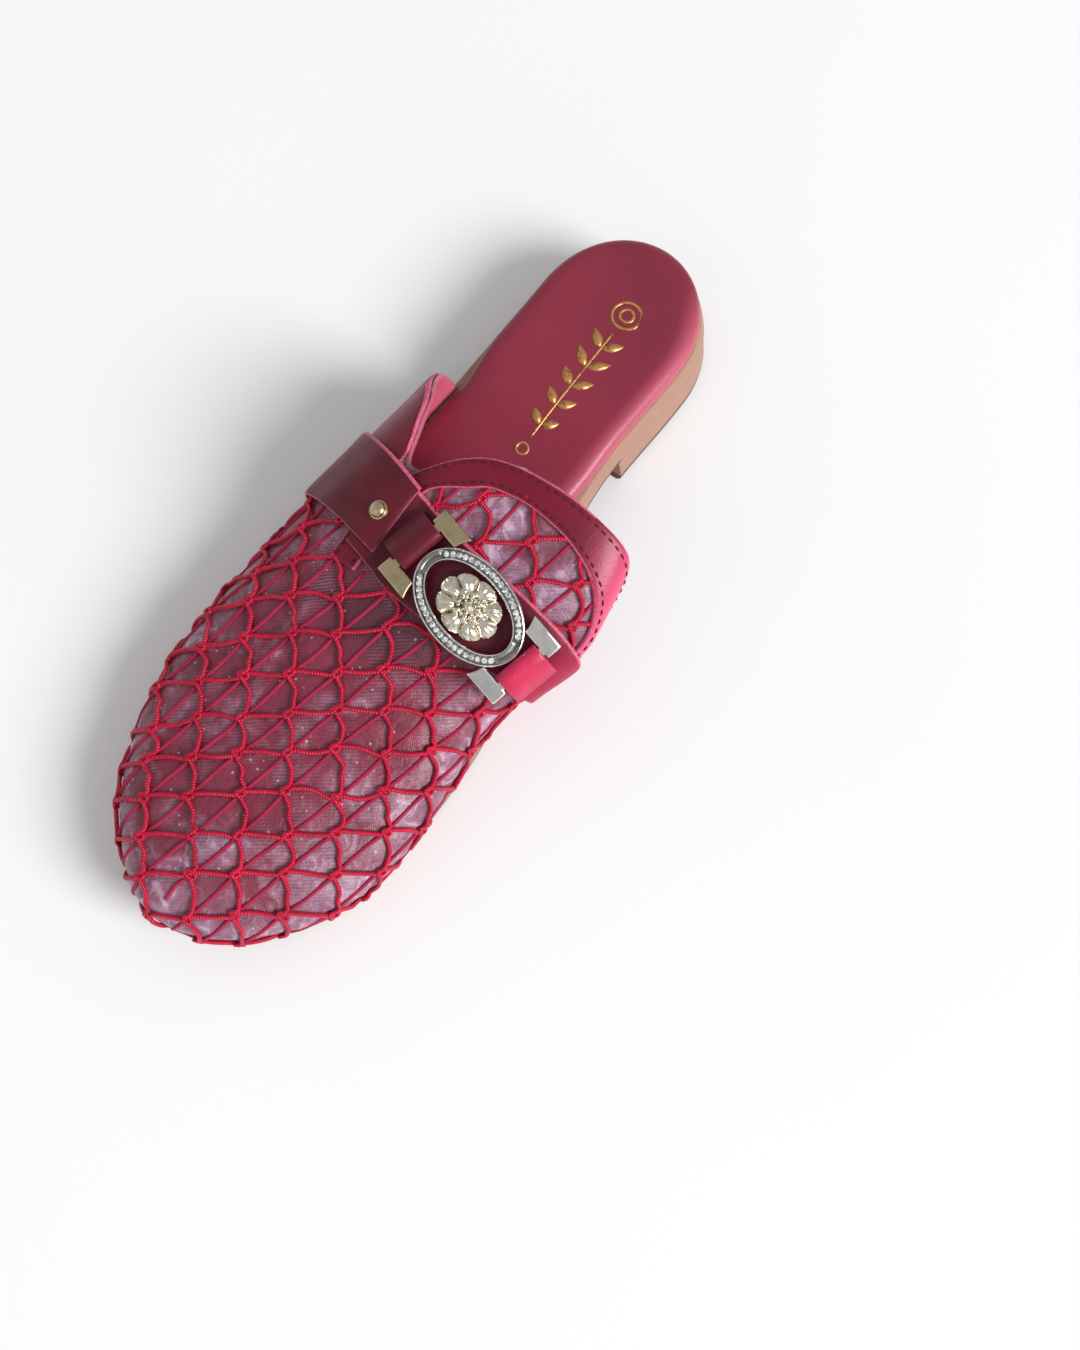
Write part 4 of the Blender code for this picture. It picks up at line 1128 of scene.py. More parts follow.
class Net:
    """The knotted cords on the upper laid flat: rows, columns and cross threads."""

    def __init__(self, layout):
        self.layout = layout
        self.right = numpy.array((math.cos(NET_TURN), math.sin(NET_TURN)))
        self.down = numpy.array((math.sin(NET_TURN), -math.cos(NET_TURN)))
        self.dice = random.Random(11)
        self.rows = range(-9, 9)
        self.columns = range(-6, 14)
        self.knots = {}
        for i in self.rows:
            for j in self.columns:
                jitter = [self.dice.gauss(0, 0.00058) for _ in range(2)]
                self.knots[i, j] = self.at(i, j, *jitter)

    def at(self, i, j, right=0.0, down=0.0):
        """A flat place from a knot's row and column, moved in metres."""
        start = numpy.array(NET_START)
        return start + self.right * (j * CELL_WIDE + right) + self.down * (i * CELL_LONG + down)

    def moved(self, knot, right, down):
        return knot + self.right * right * MM + self.down * down * MM

    def row(self, i):
        """A row leaves each knot high on its right and comes to the next one low."""
        points = []
        for j in self.columns:
            knot = self.knots[i, j]
            bow = self.dice.uniform(-0.5, 0.3)
            points += [self.moved(knot, -1.1, 0.55), self.moved(knot, 0.0, 0.0), self.moved(knot, 1.2, -0.55)]
            points.append(self.moved(knot, CELL_WIDE / MM * 0.5, bow))
        return points

    def column(self, j):
        """A column comes down to each knot, steps to its left, and bows right below it."""
        points = []
        for i in self.rows:
            knot = self.knots[i, j]
            bow = self.dice.uniform(0.7, 2.2)
            points += [self.moved(knot, 0.9, -1.5), self.moved(knot, -1.1, -0.2), self.moved(knot, -0.3, 1.2)]
            points.append(self.moved(knot, bow, CELL_LONG / MM * 0.42))
            points.append(self.moved(knot, bow * 0.8, CELL_LONG / MM * 0.66))
        return points

    def cross(self, i, j):
        """A thin thread from a knot up to the next one on the row above."""
        a, b = self.knots[i, j], self.knots[i - 1, j + 1]
        sag = self.dice.uniform(-0.6, 0.6)
        return [a, (a + b) / 2 + self.down * sag * MM, b]

    def loop(self, i, j):
        """The small eye of a knot."""
        knot = self.knots[i, j]
        tilt = self.dice.uniform(-0.6, 0.9)
        long, wide = self.dice.uniform(1.15, 1.6), self.dice.uniform(0.70, 1.0)
        points = []
        for k in range(12):
            turn = 2 * math.pi * k / 12
            a, b = long * math.cos(turn), wide * math.sin(turn)
            points.append(self.moved(
                knot, -0.2 + a * math.cos(tilt) - b * math.sin(tilt), a * math.sin(tilt) + b * math.cos(tilt)
            ))
        return points


def curve_through(points, gap=0.0007):
    """A smooth line through points, in steps of about gap."""
    points = numpy.asarray(points)
    ends = numpy.concatenate((2 * points[:1] - points[1:2], points, 2 * points[-1:] - points[-2:-1]))
    line = []
    for i in range(1, len(ends) - 2):
        p0, p1, p2, p3 = ends[i - 1:i + 3]
        count = max(int(numpy.linalg.norm(p2 - p1) / gap), 2)
        t = numpy.arange(count)[:, None] / count
        line.append(0.5 * (2 * p1 + (p2 - p0) * t + (2 * p0 - 5 * p1 + 4 * p2 - p3) * t ** 2
                           + (3 * p1 - p0 - 3 * p2 + p3) * t ** 3))
    return numpy.concatenate(line + [points[-1:]])


def on_vamp(s, reach):
    """The netted field of the vamp starts in front of the straps and the band's end."""
    outer = smooth(STRAP_OUTER, 2, reach)
    edge = numpy.where(reach < STRAP_INNER[0][0], outer, smooth(STRAP_INNER, 2, reach))
    beside = (reach > BAND[0][1] - BESIDE_BAND) & (reach < BAND[0][3] + BESIDE_BAND)
    edge = numpy.where(beside, numpy.maximum(edge, BAND[0][0]), edge)
    return s > edge * LENGTH - UNDER_LEATHER


def on_tongue(s, reach):
    """The netted field of the tongue lies between the collar band and the straps."""
    front = [(row[3], row[2]) for row in BAND[2:]]
    inside = (reach > front[0][0]) & (reach < front[-1][0])
    behind = smooth(front, 1, reach) * LENGTH
    ahead = smooth(STRAP_INNER, 1, reach) * LENGTH
    return inside & (s > behind - UNDER_LEATHER) & (s < ahead + UNDER_LEATHER)


def draped(net, lines, lift, inside, reach_limit=NET_EDGE, shortest=SHORT_CORD):
    """Lays flat lines on the skin. Returns the runs that lie in a netted field, each with
    its points and ways out."""
    sizes = [len(line) for line in lines]
    s, reach, miss = net.layout.find(numpy.concatenate(lines))
    good = (miss < MISS) & inside(s, reach) & (abs(reach) < reach_limit)
    lift = numpy.concatenate(lift) if isinstance(lift, list) else numpy.full(len(s), lift)
    out = normals(s, reach)
    points = lifted(s, reach, lift) + out * creased(s, reach)[:, None]
    missed = (miss >= MISS) & (abs(reach) < reach_limit)
    runs, first = [], 0
    for size in sizes:
        bridge(points, out, good, missed, first, first + size)
        start = None
        for k in range(first, first + size + 1):
            keep = k < first + size and good[k]
            if keep and start is not None and numpy.linalg.norm(points[k] - points[k - 1]) > 0.004:
                keep = False
            if keep and start is None:
                start = k
            elif not keep and start is not None:
                if k - start >= shortest:
                    runs.append((points[start:k], out[start:k]))
                start = None
        first += size
    return runs


def bridge(points, out, good, missed, first, last, longest=0.011):
    """Fills the short gaps of a line where the layout found no skin point: the points
    run on between the two ends, bowed out a little as the skin is."""
    ends = [k for k in range(first, last) if good[k]]
    for a, b in zip(ends, ends[1:]):
        span = numpy.linalg.norm(points[b] - points[a])
        if b - a < 2 or span > longest or not missed[a + 1:b].all():
            continue
        t = (numpy.arange(a + 1, b) - a)[:, None] / (b - a)
        way = out[a] + (out[b] - out[a]) * t
        bow = span * numpy.linalg.norm(out[b] - out[a]) / 2 * t * (1 - t)
        points[a + 1:b] = points[a] + (points[b] - points[a]) * t + way * bow
        out[a + 1:b] = way / numpy.linalg.norm(way, axis=1, keepdims=True)
        good[a + 1:b] = True


def make_net(layout, cord, thread, name, node, inside):
    """One netted field. Returns the points of its main cords, for the cloth below."""
    net = Net(layout)
    rows = [curve_through(net.row(i)) for i in net.rows]
    columns = [curve_through(net.column(j)) for j in net.columns]
    knots = numpy.array(list(net.knots.values()))

    def over_knots(line):
        """Columns ride over the rows near each knot."""
        off = numpy.sqrt(((line[:, None, :] - knots[None]) ** 2).sum(-1)).min(1)
        return CORD * (0.62 + 0.50 * numpy.exp(-(off / 0.0013) ** 2))

    row_runs = draped(net, rows, CORD * 0.55, inside)
    column_runs = draped(net, columns, [over_knots(line) for line in columns], inside)
    loops = [curve_through(net.loop(i, j) + net.loop(i, j)[:1], 0.0006)[:-1] for i, j in net.knots]
    eyes = draped(net, loops, CORD * 1.0, inside, 0.93, 8)
    eyes = [run for run in eyes if numpy.linalg.norm(run[0][0] - run[0][-1]) < 0.0016]
    runs = row_runs + column_runs
    made = tube(name + "_cords", runs, [CORD / 2] * len(runs), cord)
    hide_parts(node)
    knotted = tube(name + "_knots", eyes, [CORD * 0.36] * len(eyes), cord, closed=True)
    pairs = [(i, j) for i, j in net.knots if (i - 1, j + 1) in net.knots]
    threads = [curve_through(net.cross(i, j), 0.0012) for i, j in pairs]
    thin = draped(net, threads, 0.00018, inside, NET_EDGE, SHORT_THREAD)
    crossing = tube(name + "_threads", thin, [0.00060] * len(thin), thread, sides=6)
    return numpy.concatenate([run[0] for run in runs])


def make_border(cord):
    """The cord that gathers the net round the sole's edge, pulled out at each cell."""
    runs = []
    for side, first in ((OUTER, 0.530), (INNER, 0.590)):
        turns = numpy.linspace(0, math.pi / 2, 420)
        s = LENGTH * (first + (0.9985 - first) * numpy.sin(turns))
        reach = side * (0.945 + 0.006 * numpy.sin(s / LENGTH * 150 + side))
        runs.append((lifted(s, reach, CORD * 0.35), normals(s, reach)))
    (outer, outer_up), (inner, inner_up) = runs
    line = numpy.concatenate((outer, inner[::-1][1:]))
    up = numpy.concatenate((outer_up, inner_up[::-1][1:]))
    made = tube("vamp_border", [(line, up)], [CORD * 0.42], cord)


def table_strip(name, rows, across, low, thick, finish, node, highlight_line=(0.00095, 0.0004)):
    """A leather strip from arrays of s and reach on a grid, with rounded long edges and painted light that
    brightens it towards the inner side.
    """
    s, reach = rows
    soft = edge_drop(across, thick * 0.45)[None, :]
    ends = edge_drop(numpy.linspace(0, 1, s.shape[0]), thick * 0.45, 0.03)[:, None]
    under_face = lifted(s, reach, numpy.broadcast_to(low, s.shape))
    over_face = lifted(s, reach, low + thick - numpy.maximum(soft, ends))
    made = slab(name, under_face, over_face, finish, highlight_line=highlight_line)
    # Painted light: brighter towards the inner side, which faces the lamp.
    mark_lit(made.data, numpy.tile(blend(0.20, 0.62, reach).ravel(), 2))
    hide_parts(node)


def mark_lit(mesh, values):
    """The attribute lit of a mesh: on leather, 1 where painted light makes it bright; on the cloth, how pale
    it reads, with painted light and, below 0, painted shadow.
    """
    layer = mesh.attributes.new("lit", "FLOAT", "POINT")
    layer.data.foreach_set("value", numpy.asarray(values, float))


def make_strap(name, table, node, count, finish):
    reach, rear, front, lift = (v[:, None] for v in rows_of(table, count))
    across = from_edges(22)
    s = (rear + (front - rear) * across) * LENGTH
    low = GAP + lift * LEATHER + 0 * across
    wave = 0.00012 * numpy.sin(reach * 30 + across * 4)
    table_strip(name, (s, reach + 0 * across), across, low + wave, LEATHER, finish, node)


def make_quarter(finish):
    reach, front = (v[:, None] for v in rows_of(QUARTER, 60))
    across = from_edges(20)
    rim = smooth(RIM, 1, 1 - abs(reach)) + 0.003
    s = (rim + (front - rim) * across) * LENGTH
    table_strip("quarter", (s, reach + 0 * across), across, GAP, LEATHER, finish, "quarter_outer")


def band_place(at, across):
    """s and reach on the collar band: at runs along it in rows, across from its rear edge."""
    rows = [(float(i), *row) for i, row in enumerate(BAND)]
    rear_s, rear_reach, front_s, front_reach = (smooth(rows, c, at) for c in range(1, 5))
    return (rear_s + (front_s - rear_s) * across) * LENGTH, rear_reach + (front_reach - rear_reach) * across


def make_band(finish, thread):
    at = numpy.linspace(0, len(BAND) - 1, 260)[:, None]
    across = from_edges(26)
    # Widths of the painted highlight lines along the band's rear and front edges.
    highlight_line = (0.0007, 0.0008)
    table_strip("band", band_place(at, across), across, GAP, BAND_THICK, finish, "collar_band", highlight_line)
    stitches("band_stitches", 0.17, thread)
    stitches("band_stitches_front", 0.83, thread)


def stitches(name, across, material, pitch=0.0027, long=0.0017):
    """Short thread stitches along the collar band, each sunk at its two ends."""
    at = numpy.linspace(0.1, len(BAND) - 1.1, 1200)
    line = skin(*band_place(at, across))
    travel = numpy.concatenate(((0.0,), numpy.linalg.norm(numpy.diff(line, axis=0), axis=1).cumsum()))
    runs, radii = [], []
    for k in range(int(travel[-1] / pitch)):
        own = numpy.interp(k * pitch + numpy.linspace(0, long, 7), travel, at)
        s, reach = band_place(own, across)
        bow = numpy.sin(numpy.linspace(0, math.pi, 7))
        rise = GAP + BAND_THICK + 0.00024 * bow - 0.00008
        runs.append((lifted(s, reach, rise), normals(s, reach)))
        radii.append(0.00015 + 0.00015 * bow)
    made = tube(name, runs, radii, material, sides=6)


# The ornament


class Buckle:
    """The frame of the ornament: a runs to the inner side, t towards the toe, n out."""

    def __init__(self):
        start, end = (skin(share * LENGTH, reach) for share, reach in BUCKLE_AIM)
        share, reach = BUCKLE_AT
        normal = Vector(normals(share * LENGTH, reach))
        self.long = Vector(end - start).normalized()
        self.out = (normal - self.long * normal.dot(self.long)).normalized()
        self.toe = self.long.cross(self.out)
        if self.toe.y > 0:
            self.toe = -self.toe
        self.origin = Vector(skin(share * LENGTH, reach)) + self.out * BUCKLE_LIFT

    def at(self, a, t, n):
        """The casting bends down towards both ends to follow the instep."""
        return self.origin + self.long * a + self.toe * t + self.out * (n - BUCKLE_BEND * a * a)


MID_LONG, MID_WIDE = (RING_LONG - RING_BAND) / 2, (RING_WIDE - RING_BAND) / 2


def swept_ring(buckle, section, turns=144):
    """Points and faces of the oval swept with a section: section(turn) gives pairs of
    place across the band, from -0.5 inside to 0.5 outside, and rise in thicknesses."""
    points, faces = [], []
    for i in range(turns):
        turn = 2 * math.pi * i / turns
        loop = section(turn)
        for across, rise in loop:
            a = (MID_LONG + across * RING_BAND) * math.cos(turn)
            t = (MID_WIDE + across * RING_BAND) * math.sin(turn)
            points.append(buckle.at(a, t, rise * RING_THICK))
    size = len(loop)
    for i in range(turns):
        k = (i + 1) % turns
        for j in range(size):
            m = (j + 1) % size
            faces.append((i * size + j, k * size + j, k * size + m, i * size + m))
    return points, faces


def make_ring(buckle, silver, shade, stone):
    """The oval ring: a dull trough, its metal darker as painted shade, with a row of stones
    along each long side, and plain grooves at both ends."""
    def section(turn):
        paved = blend(0.30, 0.42, abs(math.sin(turn)))
        floor = 0.84 - 0.34 * paved
        middle = 0.70 - 0.22 * paved
        return (
            (-0.5, 0.0), (-0.5, 0.50), (-0.47, 0.74), (-0.42, 0.86), (-0.35, 0.88), (-0.31, 0.80),
            (-0.30, floor), (-0.12, floor), (0.0, middle), (0.12, floor), (0.30, floor),
            (0.31, 0.80), (0.35, 0.88), (0.42, 0.86), (0.47, 0.74), (0.5, 0.50), (0.5, 0.0),
        )

    points, faces = swept_ring(buckle, section)
    trough = [1 if 5 <= i % 17 <= 10 else 0 for i in range(len(faces))]
    made = build("ring", points, faces, [silver, shade], trough, sharp=50)
    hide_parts("buckle_ring")
    gems, gem_faces = [], []
    turn = 0.0
    while turn < 2 * math.pi:
        a, t = MID_LONG * math.cos(turn), MID_WIDE * math.sin(turn)
        if abs(math.sin(turn)) > 0.36:
            gem(buckle, a, t, 0.52 * RING_THICK, 0.00100, gems, gem_faces, turn * 3)
        turn += 0.00172 / math.hypot(MID_LONG * math.sin(turn), MID_WIDE * math.cos(turn))
    made = build("stones", gems, gem_faces, [stone], sharp=5)


def gem(buckle, a, t, n, radius, points, faces, turned):
    """A small cut stone: a girdle, a bevelled crown and a table."""
    base = len(points)
    for share, rise in ((0.92, -0.2), (1.0, 0.25), (0.84, 0.80), (0.50, 1.10)):
        for k in range(8):
            turn = turned + 2 * math.pi * (k + (0.5 if share == 0.84 else 0)) / 8
            across, along = share * radius * math.cos(turn), share * radius * math.sin(turn)
            points.append(buckle.at(a + across, t + along, n + rise * radius))
    for low in range(base, base + 24, 8):
        for k in range(8):
            m = (k + 1) % 8
            faces.append((low + k, low + m, low + 8 + m, low + 8 + k))
    faces.append(tuple(base + 24 + k for k in range(8)))
    faces.append(tuple(base + 7 - k for k in range(8)))


def ring_edge(t):
    """Half length of the ring's outline at the distance t from its long axis."""
    share = min(abs(t) / (RING_WIDE / 2), 1)
    return RING_LONG / 2 * math.sqrt(1 - share * share)


def make_link(buckle, side, name, node, metal_finish):
    """A link plate beside the ring: two feet that hug the ring, and the loop's bar."""
    tip = RING_LONG / 2
    half = LINK_WIDTH / 2
    inner = half - LINK_FOOT
    bar_near = tip + GAP + LEATHER + 2 * GAP
    bar_far = bar_near + BAR
    foot_far = tip + LINK_REACH
    foot_near = ring_edge(inner) - GAP
    corner_near = ring_edge(half - LINK_FOOT * 0.60) + 2 * GAP
    hug = [inner + (half - inner) * k / 3 for k in range(4)]
    arm = [(foot_near + (corner_near - foot_near) * ((t - inner) / (half - inner)) ** 1.6, t) for t in hug]
    outline = arm + [(foot_far, half), (foot_far, inner), (bar_far, inner)]
    outline += [(a, -t) for a, t in outline[::-1]] + [(bar_near, -inner), (bar_near, inner)]
    size = len(outline)
    points = [buckle.at(side * a, t, n) for n in (0.0, LINK_THICK) for a, t in outline]
    faces = [tuple(range(size))[::-1], tuple(range(size, 2 * size))]
    faces += [(i, (i + 1) % size, size + (i + 1) % size, size + i) for i in range(size)]
    made = build(name, points, faces, [metal_finish], sharp=35)
    soft = made.modifiers.new("edges", "BEVEL")
    soft.width = 0.00085
    soft.segments = 5
    soft.limit_method = "ANGLE"
    soft.angle_limit = math.radians(35)
    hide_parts(node)


def make_loop(buckle, side, name, node, finish):
    """The leather loop round a link's bar, a strap end folded over it."""
    tip = RING_LONG / 2 + GAP
    bar_near = tip + LEATHER + 2 * GAP
    eye_high, eye_low = LINK_THICK + 2 * GAP, -2 * GAP
    far = tip + LOOP_BACK
    middle, radius = (eye_high + eye_low) / 2, (eye_high - eye_low) / 2
    centre = tip + LEATHER + radius
    turns = numpy.linspace(0.5 * math.pi, 1.5 * math.pi, 17)

    def bend(reach):
        return [(centre + reach * math.cos(q), middle + reach * math.sin(q)) for q in turns]

    back = bar_near + BAR + 2 * GAP
    low = eye_low - LEATHER
    within = far - 0.0001
    rim = [(far, low + 2 * LEATHER + GAP), (back, eye_high + LEATHER)]
    rim += bend(radius + LEATHER) + [(back, low), (far, low)]
    hole = [(within, low + LEATHER + GAP), (back, eye_high)]
    hole += bend(radius) + [(back, eye_low), (within, low + LEATHER)]
    stations = [(-1.0, 0.25), (-0.975, 0.06), (-0.93, 0.0), (-0.5, 0.0), (0.0, 0.0)]
    stations += [(-across, soft) for across, soft in stations[3::-1]]
    size = len(rim)
    outer = numpy.zeros((len(stations), size, 3))
    inside = numpy.zeros((len(stations), size, 3))
    for r, (across, soft) in enumerate(stations):
        t = across * LOOP_WIDTH / 2
        for c in range(size):
            (a, n), (b, m) = rim[c], hole[c]
            outer[r, c] = buckle.at(side * (a + (b - a) * soft), t, n + (m - n) * soft)
            inside[r, c] = buckle.at(side * b, t, m)
    made = slab(name, inside, outer, finish)
    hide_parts(node)


def make_rosette(buckle, gold):
    """The relief in the ring: two rows of petals with folded edges round a beaded
    heart."""
    sectors, steps = 240, 44
    points, faces = [], []
    for r in range(steps + 1):
        share = r / steps
        for i in range(sectors):
            turn = 2 * math.pi * i / sectors
            wide = abs(math.cos(PETALS * turn / 2))
            shifted = abs(math.sin(PETALS * turn / 2))
            between = 1 - math.sqrt(wide)
            reach = share * ROSETTE / 2 * (1 - 0.13 * share * between)
            outer = 0.66 * wide ** 0.6 * math.sin(math.pi * min(max((share - 0.30) / 0.72, 0), 1)) ** 0.7
            vein = 0.10 * math.exp(-((wide - 1) / 0.02) ** 2) * float(blend(0.35, 0.6, share))
            inner = 0.86 * shifted ** 0.7 * math.sin(math.pi * min(max((share - 0.12) / 0.52, 0), 1)) ** 0.8
            heart = 0.98 * math.sqrt(max(1 - (share / 0.26) ** 2, 0))
            rise = 0.20 + max(outer - vein, inner - 0.05, heart - 0.2) * 0.80
            if r == steps:
                rise = 0.10
            stretched = reach * ROSETTE_LONG / ROSETTE
            points.append(buckle.at(stretched * math.cos(turn), reach * math.sin(turn), ROSETTE_RISE * rise))
    base = len(points)
    for i in range(sectors):
        turn = 2 * math.pi * i / sectors
        between = 1 - math.sqrt(abs(math.cos(PETALS * turn / 2)))
        reach = ROSETTE / 2 * (1 - 0.13 * between)
        stretched = reach * ROSETTE_LONG / ROSETTE
        points.append(buckle.at(stretched * math.cos(turn), reach * math.sin(turn), 0.0))
    for r in range(steps + 1):
        for i in range(sectors):
            j = (i + 1) % sectors
            a, b = r * sectors, (r + 1) * sectors
            faces.append((a + i, a + j, b + j, b + i))
    faces.append(tuple(range(base, base + sectors))[::-1])
    made = build("rosette_relief", points, faces, [gold], sharp=70)
    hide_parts("rosette")
    shape = bmesh.new()
    rings = ((0.30, 14, 0.00058, 0.66), (0.0, 1, 0.0012, 0.92), (0.90, 16, 0.00050, 0.26))
    for ring_share, count, radius, rise in rings:
        for k in range(count):
            turn = 2 * math.pi * (k + 0.5) / count
            reach = ring_share * ROSETTE / 2
            stretched = reach * ROSETTE_LONG / ROSETTE
            centre = buckle.at(stretched * math.cos(turn), reach * math.sin(turn), ROSETTE_RISE * rise)
            there = Matrix.Translation(centre)
            bmesh.ops.create_uvsphere(shape, u_segments=12, v_segments=8, radius=radius, matrix=there)
    mesh = bpy.data.meshes.new("rosette_beads")
    shape.to_mesh(mesh)
    shape.free()
    beads = finish_piece("rosette_beads", mesh, [gold])


def make_rivet(gold):
    """The dome rivet of the outer strap, with a fine rim."""
    share, reach = RIVET_AT
    lift = GAP + float(smooth(STRAP_OUTER, 3, reach)) * LEATHER + LEATHER + 2 * GAP
    point = Vector(lifted(share * LENGTH, reach, lift))
    out = Vector(normals(share * LENGTH, reach))
    turn = out.to_track_quat("Z", "Y").to_matrix()
    radius = RIVET_WIDTH / 2
    profile = [(1.0, -0.25), (1.0, 0.08), (0.96, 0.15), (0.86, 0.17), (0.82, 0.22)]
    profile += [(0.80 * math.cos(q), 0.24 + 0.76 * math.sin(q)) for q in numpy.linspace(0.1, 1.5, 10)]
    sectors = 40
    points = []
    for across, rise in profile:
        for i in range(sectors):
            q = 2 * math.pi * i / sectors
            place_at = (across * radius * math.cos(q), across * radius * math.sin(q), rise * RIVET_RISE)
            points.append(point + turn @ Vector(place_at))
    faces = []
    for r in range(len(profile) - 1):
        for i in range(sectors):
            j = (i + 1) % sectors
            faces.append((r * sectors + i, r * sectors + j, (r + 1) * sectors + j, (r + 1) * sectors + i))
    faces.append(tuple(range(sectors))[::-1])
    faces.append(tuple((len(profile) - 1) * sectors + i for i in range(sectors)))
    made = build("rivet_dome", points, faces, [gold])
    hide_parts("rivet")


# The studio


def make_camera():
    """The photograph's view: it looks down on the slipper, rolled."""
    azimuth, elevation, roll = (math.radians(v) for v in (AZIMUTH, ELEVATION, ROLL))
    back = Vector((
        math.sin(azimuth) * math.cos(elevation), -math.cos(azimuth) * math.cos(elevation), math.sin(elevation)
    ))
    level = Vector((0, 0, 1)).cross(back).normalized()
    rise = back.cross(level)
    right = level * math.cos(roll) + rise * math.sin(roll)
    up = rise * math.cos(roll) - level * math.sin(roll)
    data = bpy.data.cameras.new("camera")
    data.sensor_fit = "VERTICAL"
    data.sensor_height = 36.0
    data.lens = 36.0 * LENS_SHARE
    data.clip_start = 0.01
    data.clip_end = 20.0
    camera = bpy.data.objects.new("camera", data)
    spot_at = Vector((0, 0, AIM_HEIGHT)) + back * DISTANCE + right * ASIDE + up * RAISED + Vector(SHIFT)
    camera.matrix_world = Matrix.Translation(spot_at) @ Matrix((right, up, back)).transposed().to_4x4()
    bpy.context.scene.collection.objects.link(camera)
    bpy.context.scene.camera = camera


def make_floor():
    mesh = bpy.data.meshes.new("floor")
    corners = [(x * FLOOR_HALF, y * FLOOR_HALF, 0) for x, y in ((-1, -1), (1, -1), (1, 1), (-1, 1))]
    mesh.from_pydata(corners, [], [(0, 1, 2, 3)])
    material, tree, shader = new_material("floor", Roughness=0.85)
    tone = noise(tree, spot(tree), 3.0, 2.0)
    feed(shader, Base_Color=ramp(tree, tone, ((0.3, (0.90, 0.905, 0.91)), (0.7, (0.93, 0.93, 0.935)))))
    mesh.materials.append(material)
    floor = bpy.data.objects.new("floor", mesh)
    bpy.context.scene.collection.objects.link(floor)


def area_light(name, spot_at, aim, size, power):
    data = bpy.data.lights.new(name, "AREA")
    data.shape = "DISK"
    data.size = size
    data.energy = power
    lamp = bpy.data.objects.new(name, data)
    lamp.location = spot_at
    lamp.rotation_mode = "QUATERNION"
    lamp.rotation_quaternion = (Vector(spot_at) - Vector(aim)).to_track_quat("Z", "Y")
    bpy.context.scene.collection.objects.link(lamp)


def make_light():
    """Soft studio light: a patchy pale surround for the metal, a far lamp from the inner
    side that throws the soft shadow to the outer side, and a weak fill at the toe."""
    world = bpy.data.worlds.new("studio")
    world.use_nodes = True
    tree = world.node_tree
    where = add(tree, "TexCoord").outputs["Generated"]
    patches = noise(tree, where, 2.6, 1.0, 0.4)
    tone = ramp(tree, patches, ((0.40, (0.50, 0.51, 0.53)), (0.60, (1.0, 1.0, 1.0))))
    background = tree.nodes["Background"]
    tree.links.new(tone, background.inputs["Color"])
    background.inputs["Strength"].default_value = 0.66
    bpy.context.scene.world = world
    middle = (0.0, 0.0, 0.02)
    area_light("key", (4.80, 0.40, 3.60), middle, 3.00, 345.0)
    area_light("fill", (-0.25, -0.70, 0.60), middle, 0.60, 0.3)
    bpy.context.scene.view_settings.view_transform = "Standard"


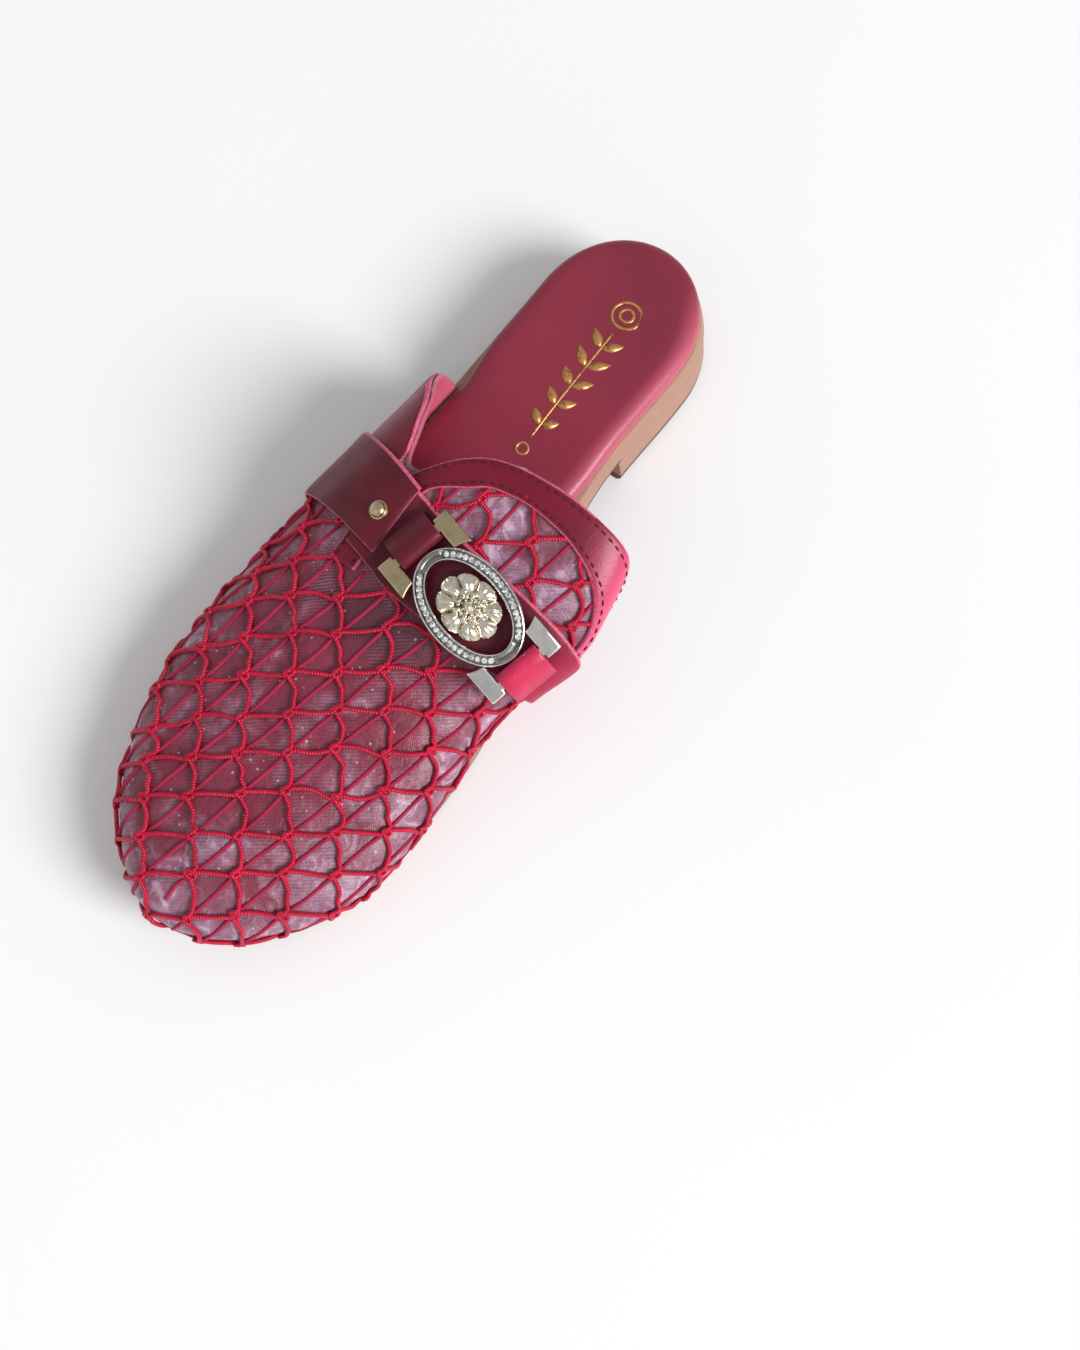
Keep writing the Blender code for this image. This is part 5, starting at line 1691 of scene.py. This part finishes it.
def main():
    tan = sole_finish("sole_side", (0.430, 0.238, 0.172), (0.370, 0.200, 0.142))
    dark = sole_finish("sole_runner", (0.17, 0.09, 0.06), (0.09, 0.045, 0.03))
    insole_red = insole_finish()
    foil = foil_finish()
    edge = cut_edge_highlight()
    # A darker copy of the crimson leather: painted shade on the straps and the outer loop, which face away
    # from the lamp.
    shaded_crimson = ((0.150, 0.008, 0.022), (0.090, 0.005, 0.014), 0.44, 0.05, 1.0, 0.15)
    # Towards the inner side the straps turn a brighter red as painted light.
    shaded_maroon = leather("leather_shaded_maroon", *shaded_crimson, (0.38, 0.014, 0.055))
    plain = leather("leather_shaded_plain", *shaded_crimson)
    # The band's brighter colour is painted light where it turns to the inner side.
    crimson = leather("leather_crimson", (0.220, 0.006, 0.028), (0.140, 0.004, 0.018), 0.38, 0.08, 1.0, 0.3,
                      (0.80, 0.10, 0.22))
    # A brighter copy of the crimson leather: painted light on the inner loop, which faces the lamp.
    painted_bright = leather("leather_painted_bright", (0.64, 0.026, 0.095), (0.42, 0.014, 0.058), 0.30, 0.30, 1.4, 0.6)
    stitch = cord_finish("stitch_thread", (0.14, 0.005, 0.018), (0.07, 0.003, 0.009), 0.0008)
    cord = cord_finish("cord", (0.68, 0.005, 0.050), (0.42, 0.003, 0.030), 0.0016, 0.32)
    thread = cord_finish("cross_thread", (0.52, 0.022, 0.085), (0.38, 0.014, 0.058), 0.0010, 0.6)
    silver = metal("silver", (0.86, 0.85, 0.82), (0.55, 0.54, 0.51), 0.12)
    brass = metal("brass", (0.56, 0.46, 0.28), (0.42, 0.33, 0.19), 0.24)
    pale_gold = metal("pale_gold", (0.80, 0.75, 0.64), (0.50, 0.44, 0.32), 0.18)
    # The ring's trough: darker metal as painted shade in the recess.
    trough_shade = metal("trough_shade", (0.30, 0.29, 0.27), (0.12, 0.115, 0.11), 0.30)
    stone = stone_finish()
    cloth = organza()
    lining = leather("lining_organza", (0.36, 0.27, 0.28), (0.22, 0.12, 0.14), 0.5, 0.0)

    make_camera()
    make_sole(tan, dark)
    make_heel(tan, dark)
    make_insole(insole_red)
    make_motif(foil)
    layout = Layout()
    lines = [
        make_net(layout, cord, thread, "vamp", "net_vamp", on_vamp),
        make_net(layout, cord, thread, "tongue", "net_tongue", on_tongue),
    ]
    make_border(cord)
    make_upper(cloth, insole_red, lining, numpy.concatenate(lines))
    make_quarter([crimson, edge])
    make_band([crimson, edge], stitch)
    make_strap("inner_strap", STRAP_INNER, "strap_inner", 150, [shaded_maroon, edge])
    make_strap("outer_strap", STRAP_OUTER, "strap_outer", 110, [shaded_maroon, edge])
    buckle = Buckle()
    make_ring(buckle, silver, trough_shade, stone)
    make_link(buckle, OUTER, "outer_link", "link_outer", brass)
    make_link(buckle, INNER, "inner_link", "link_inner", silver)
    make_loop(buckle, OUTER, "outer_loop", "loop_outer", [plain, edge])
    make_loop(buckle, INNER, "inner_loop", "loop_inner", [painted_bright, edge])
    make_rosette(buckle, pale_gold)
    make_rivet(brass)
    make_floor()
    make_light()


main()
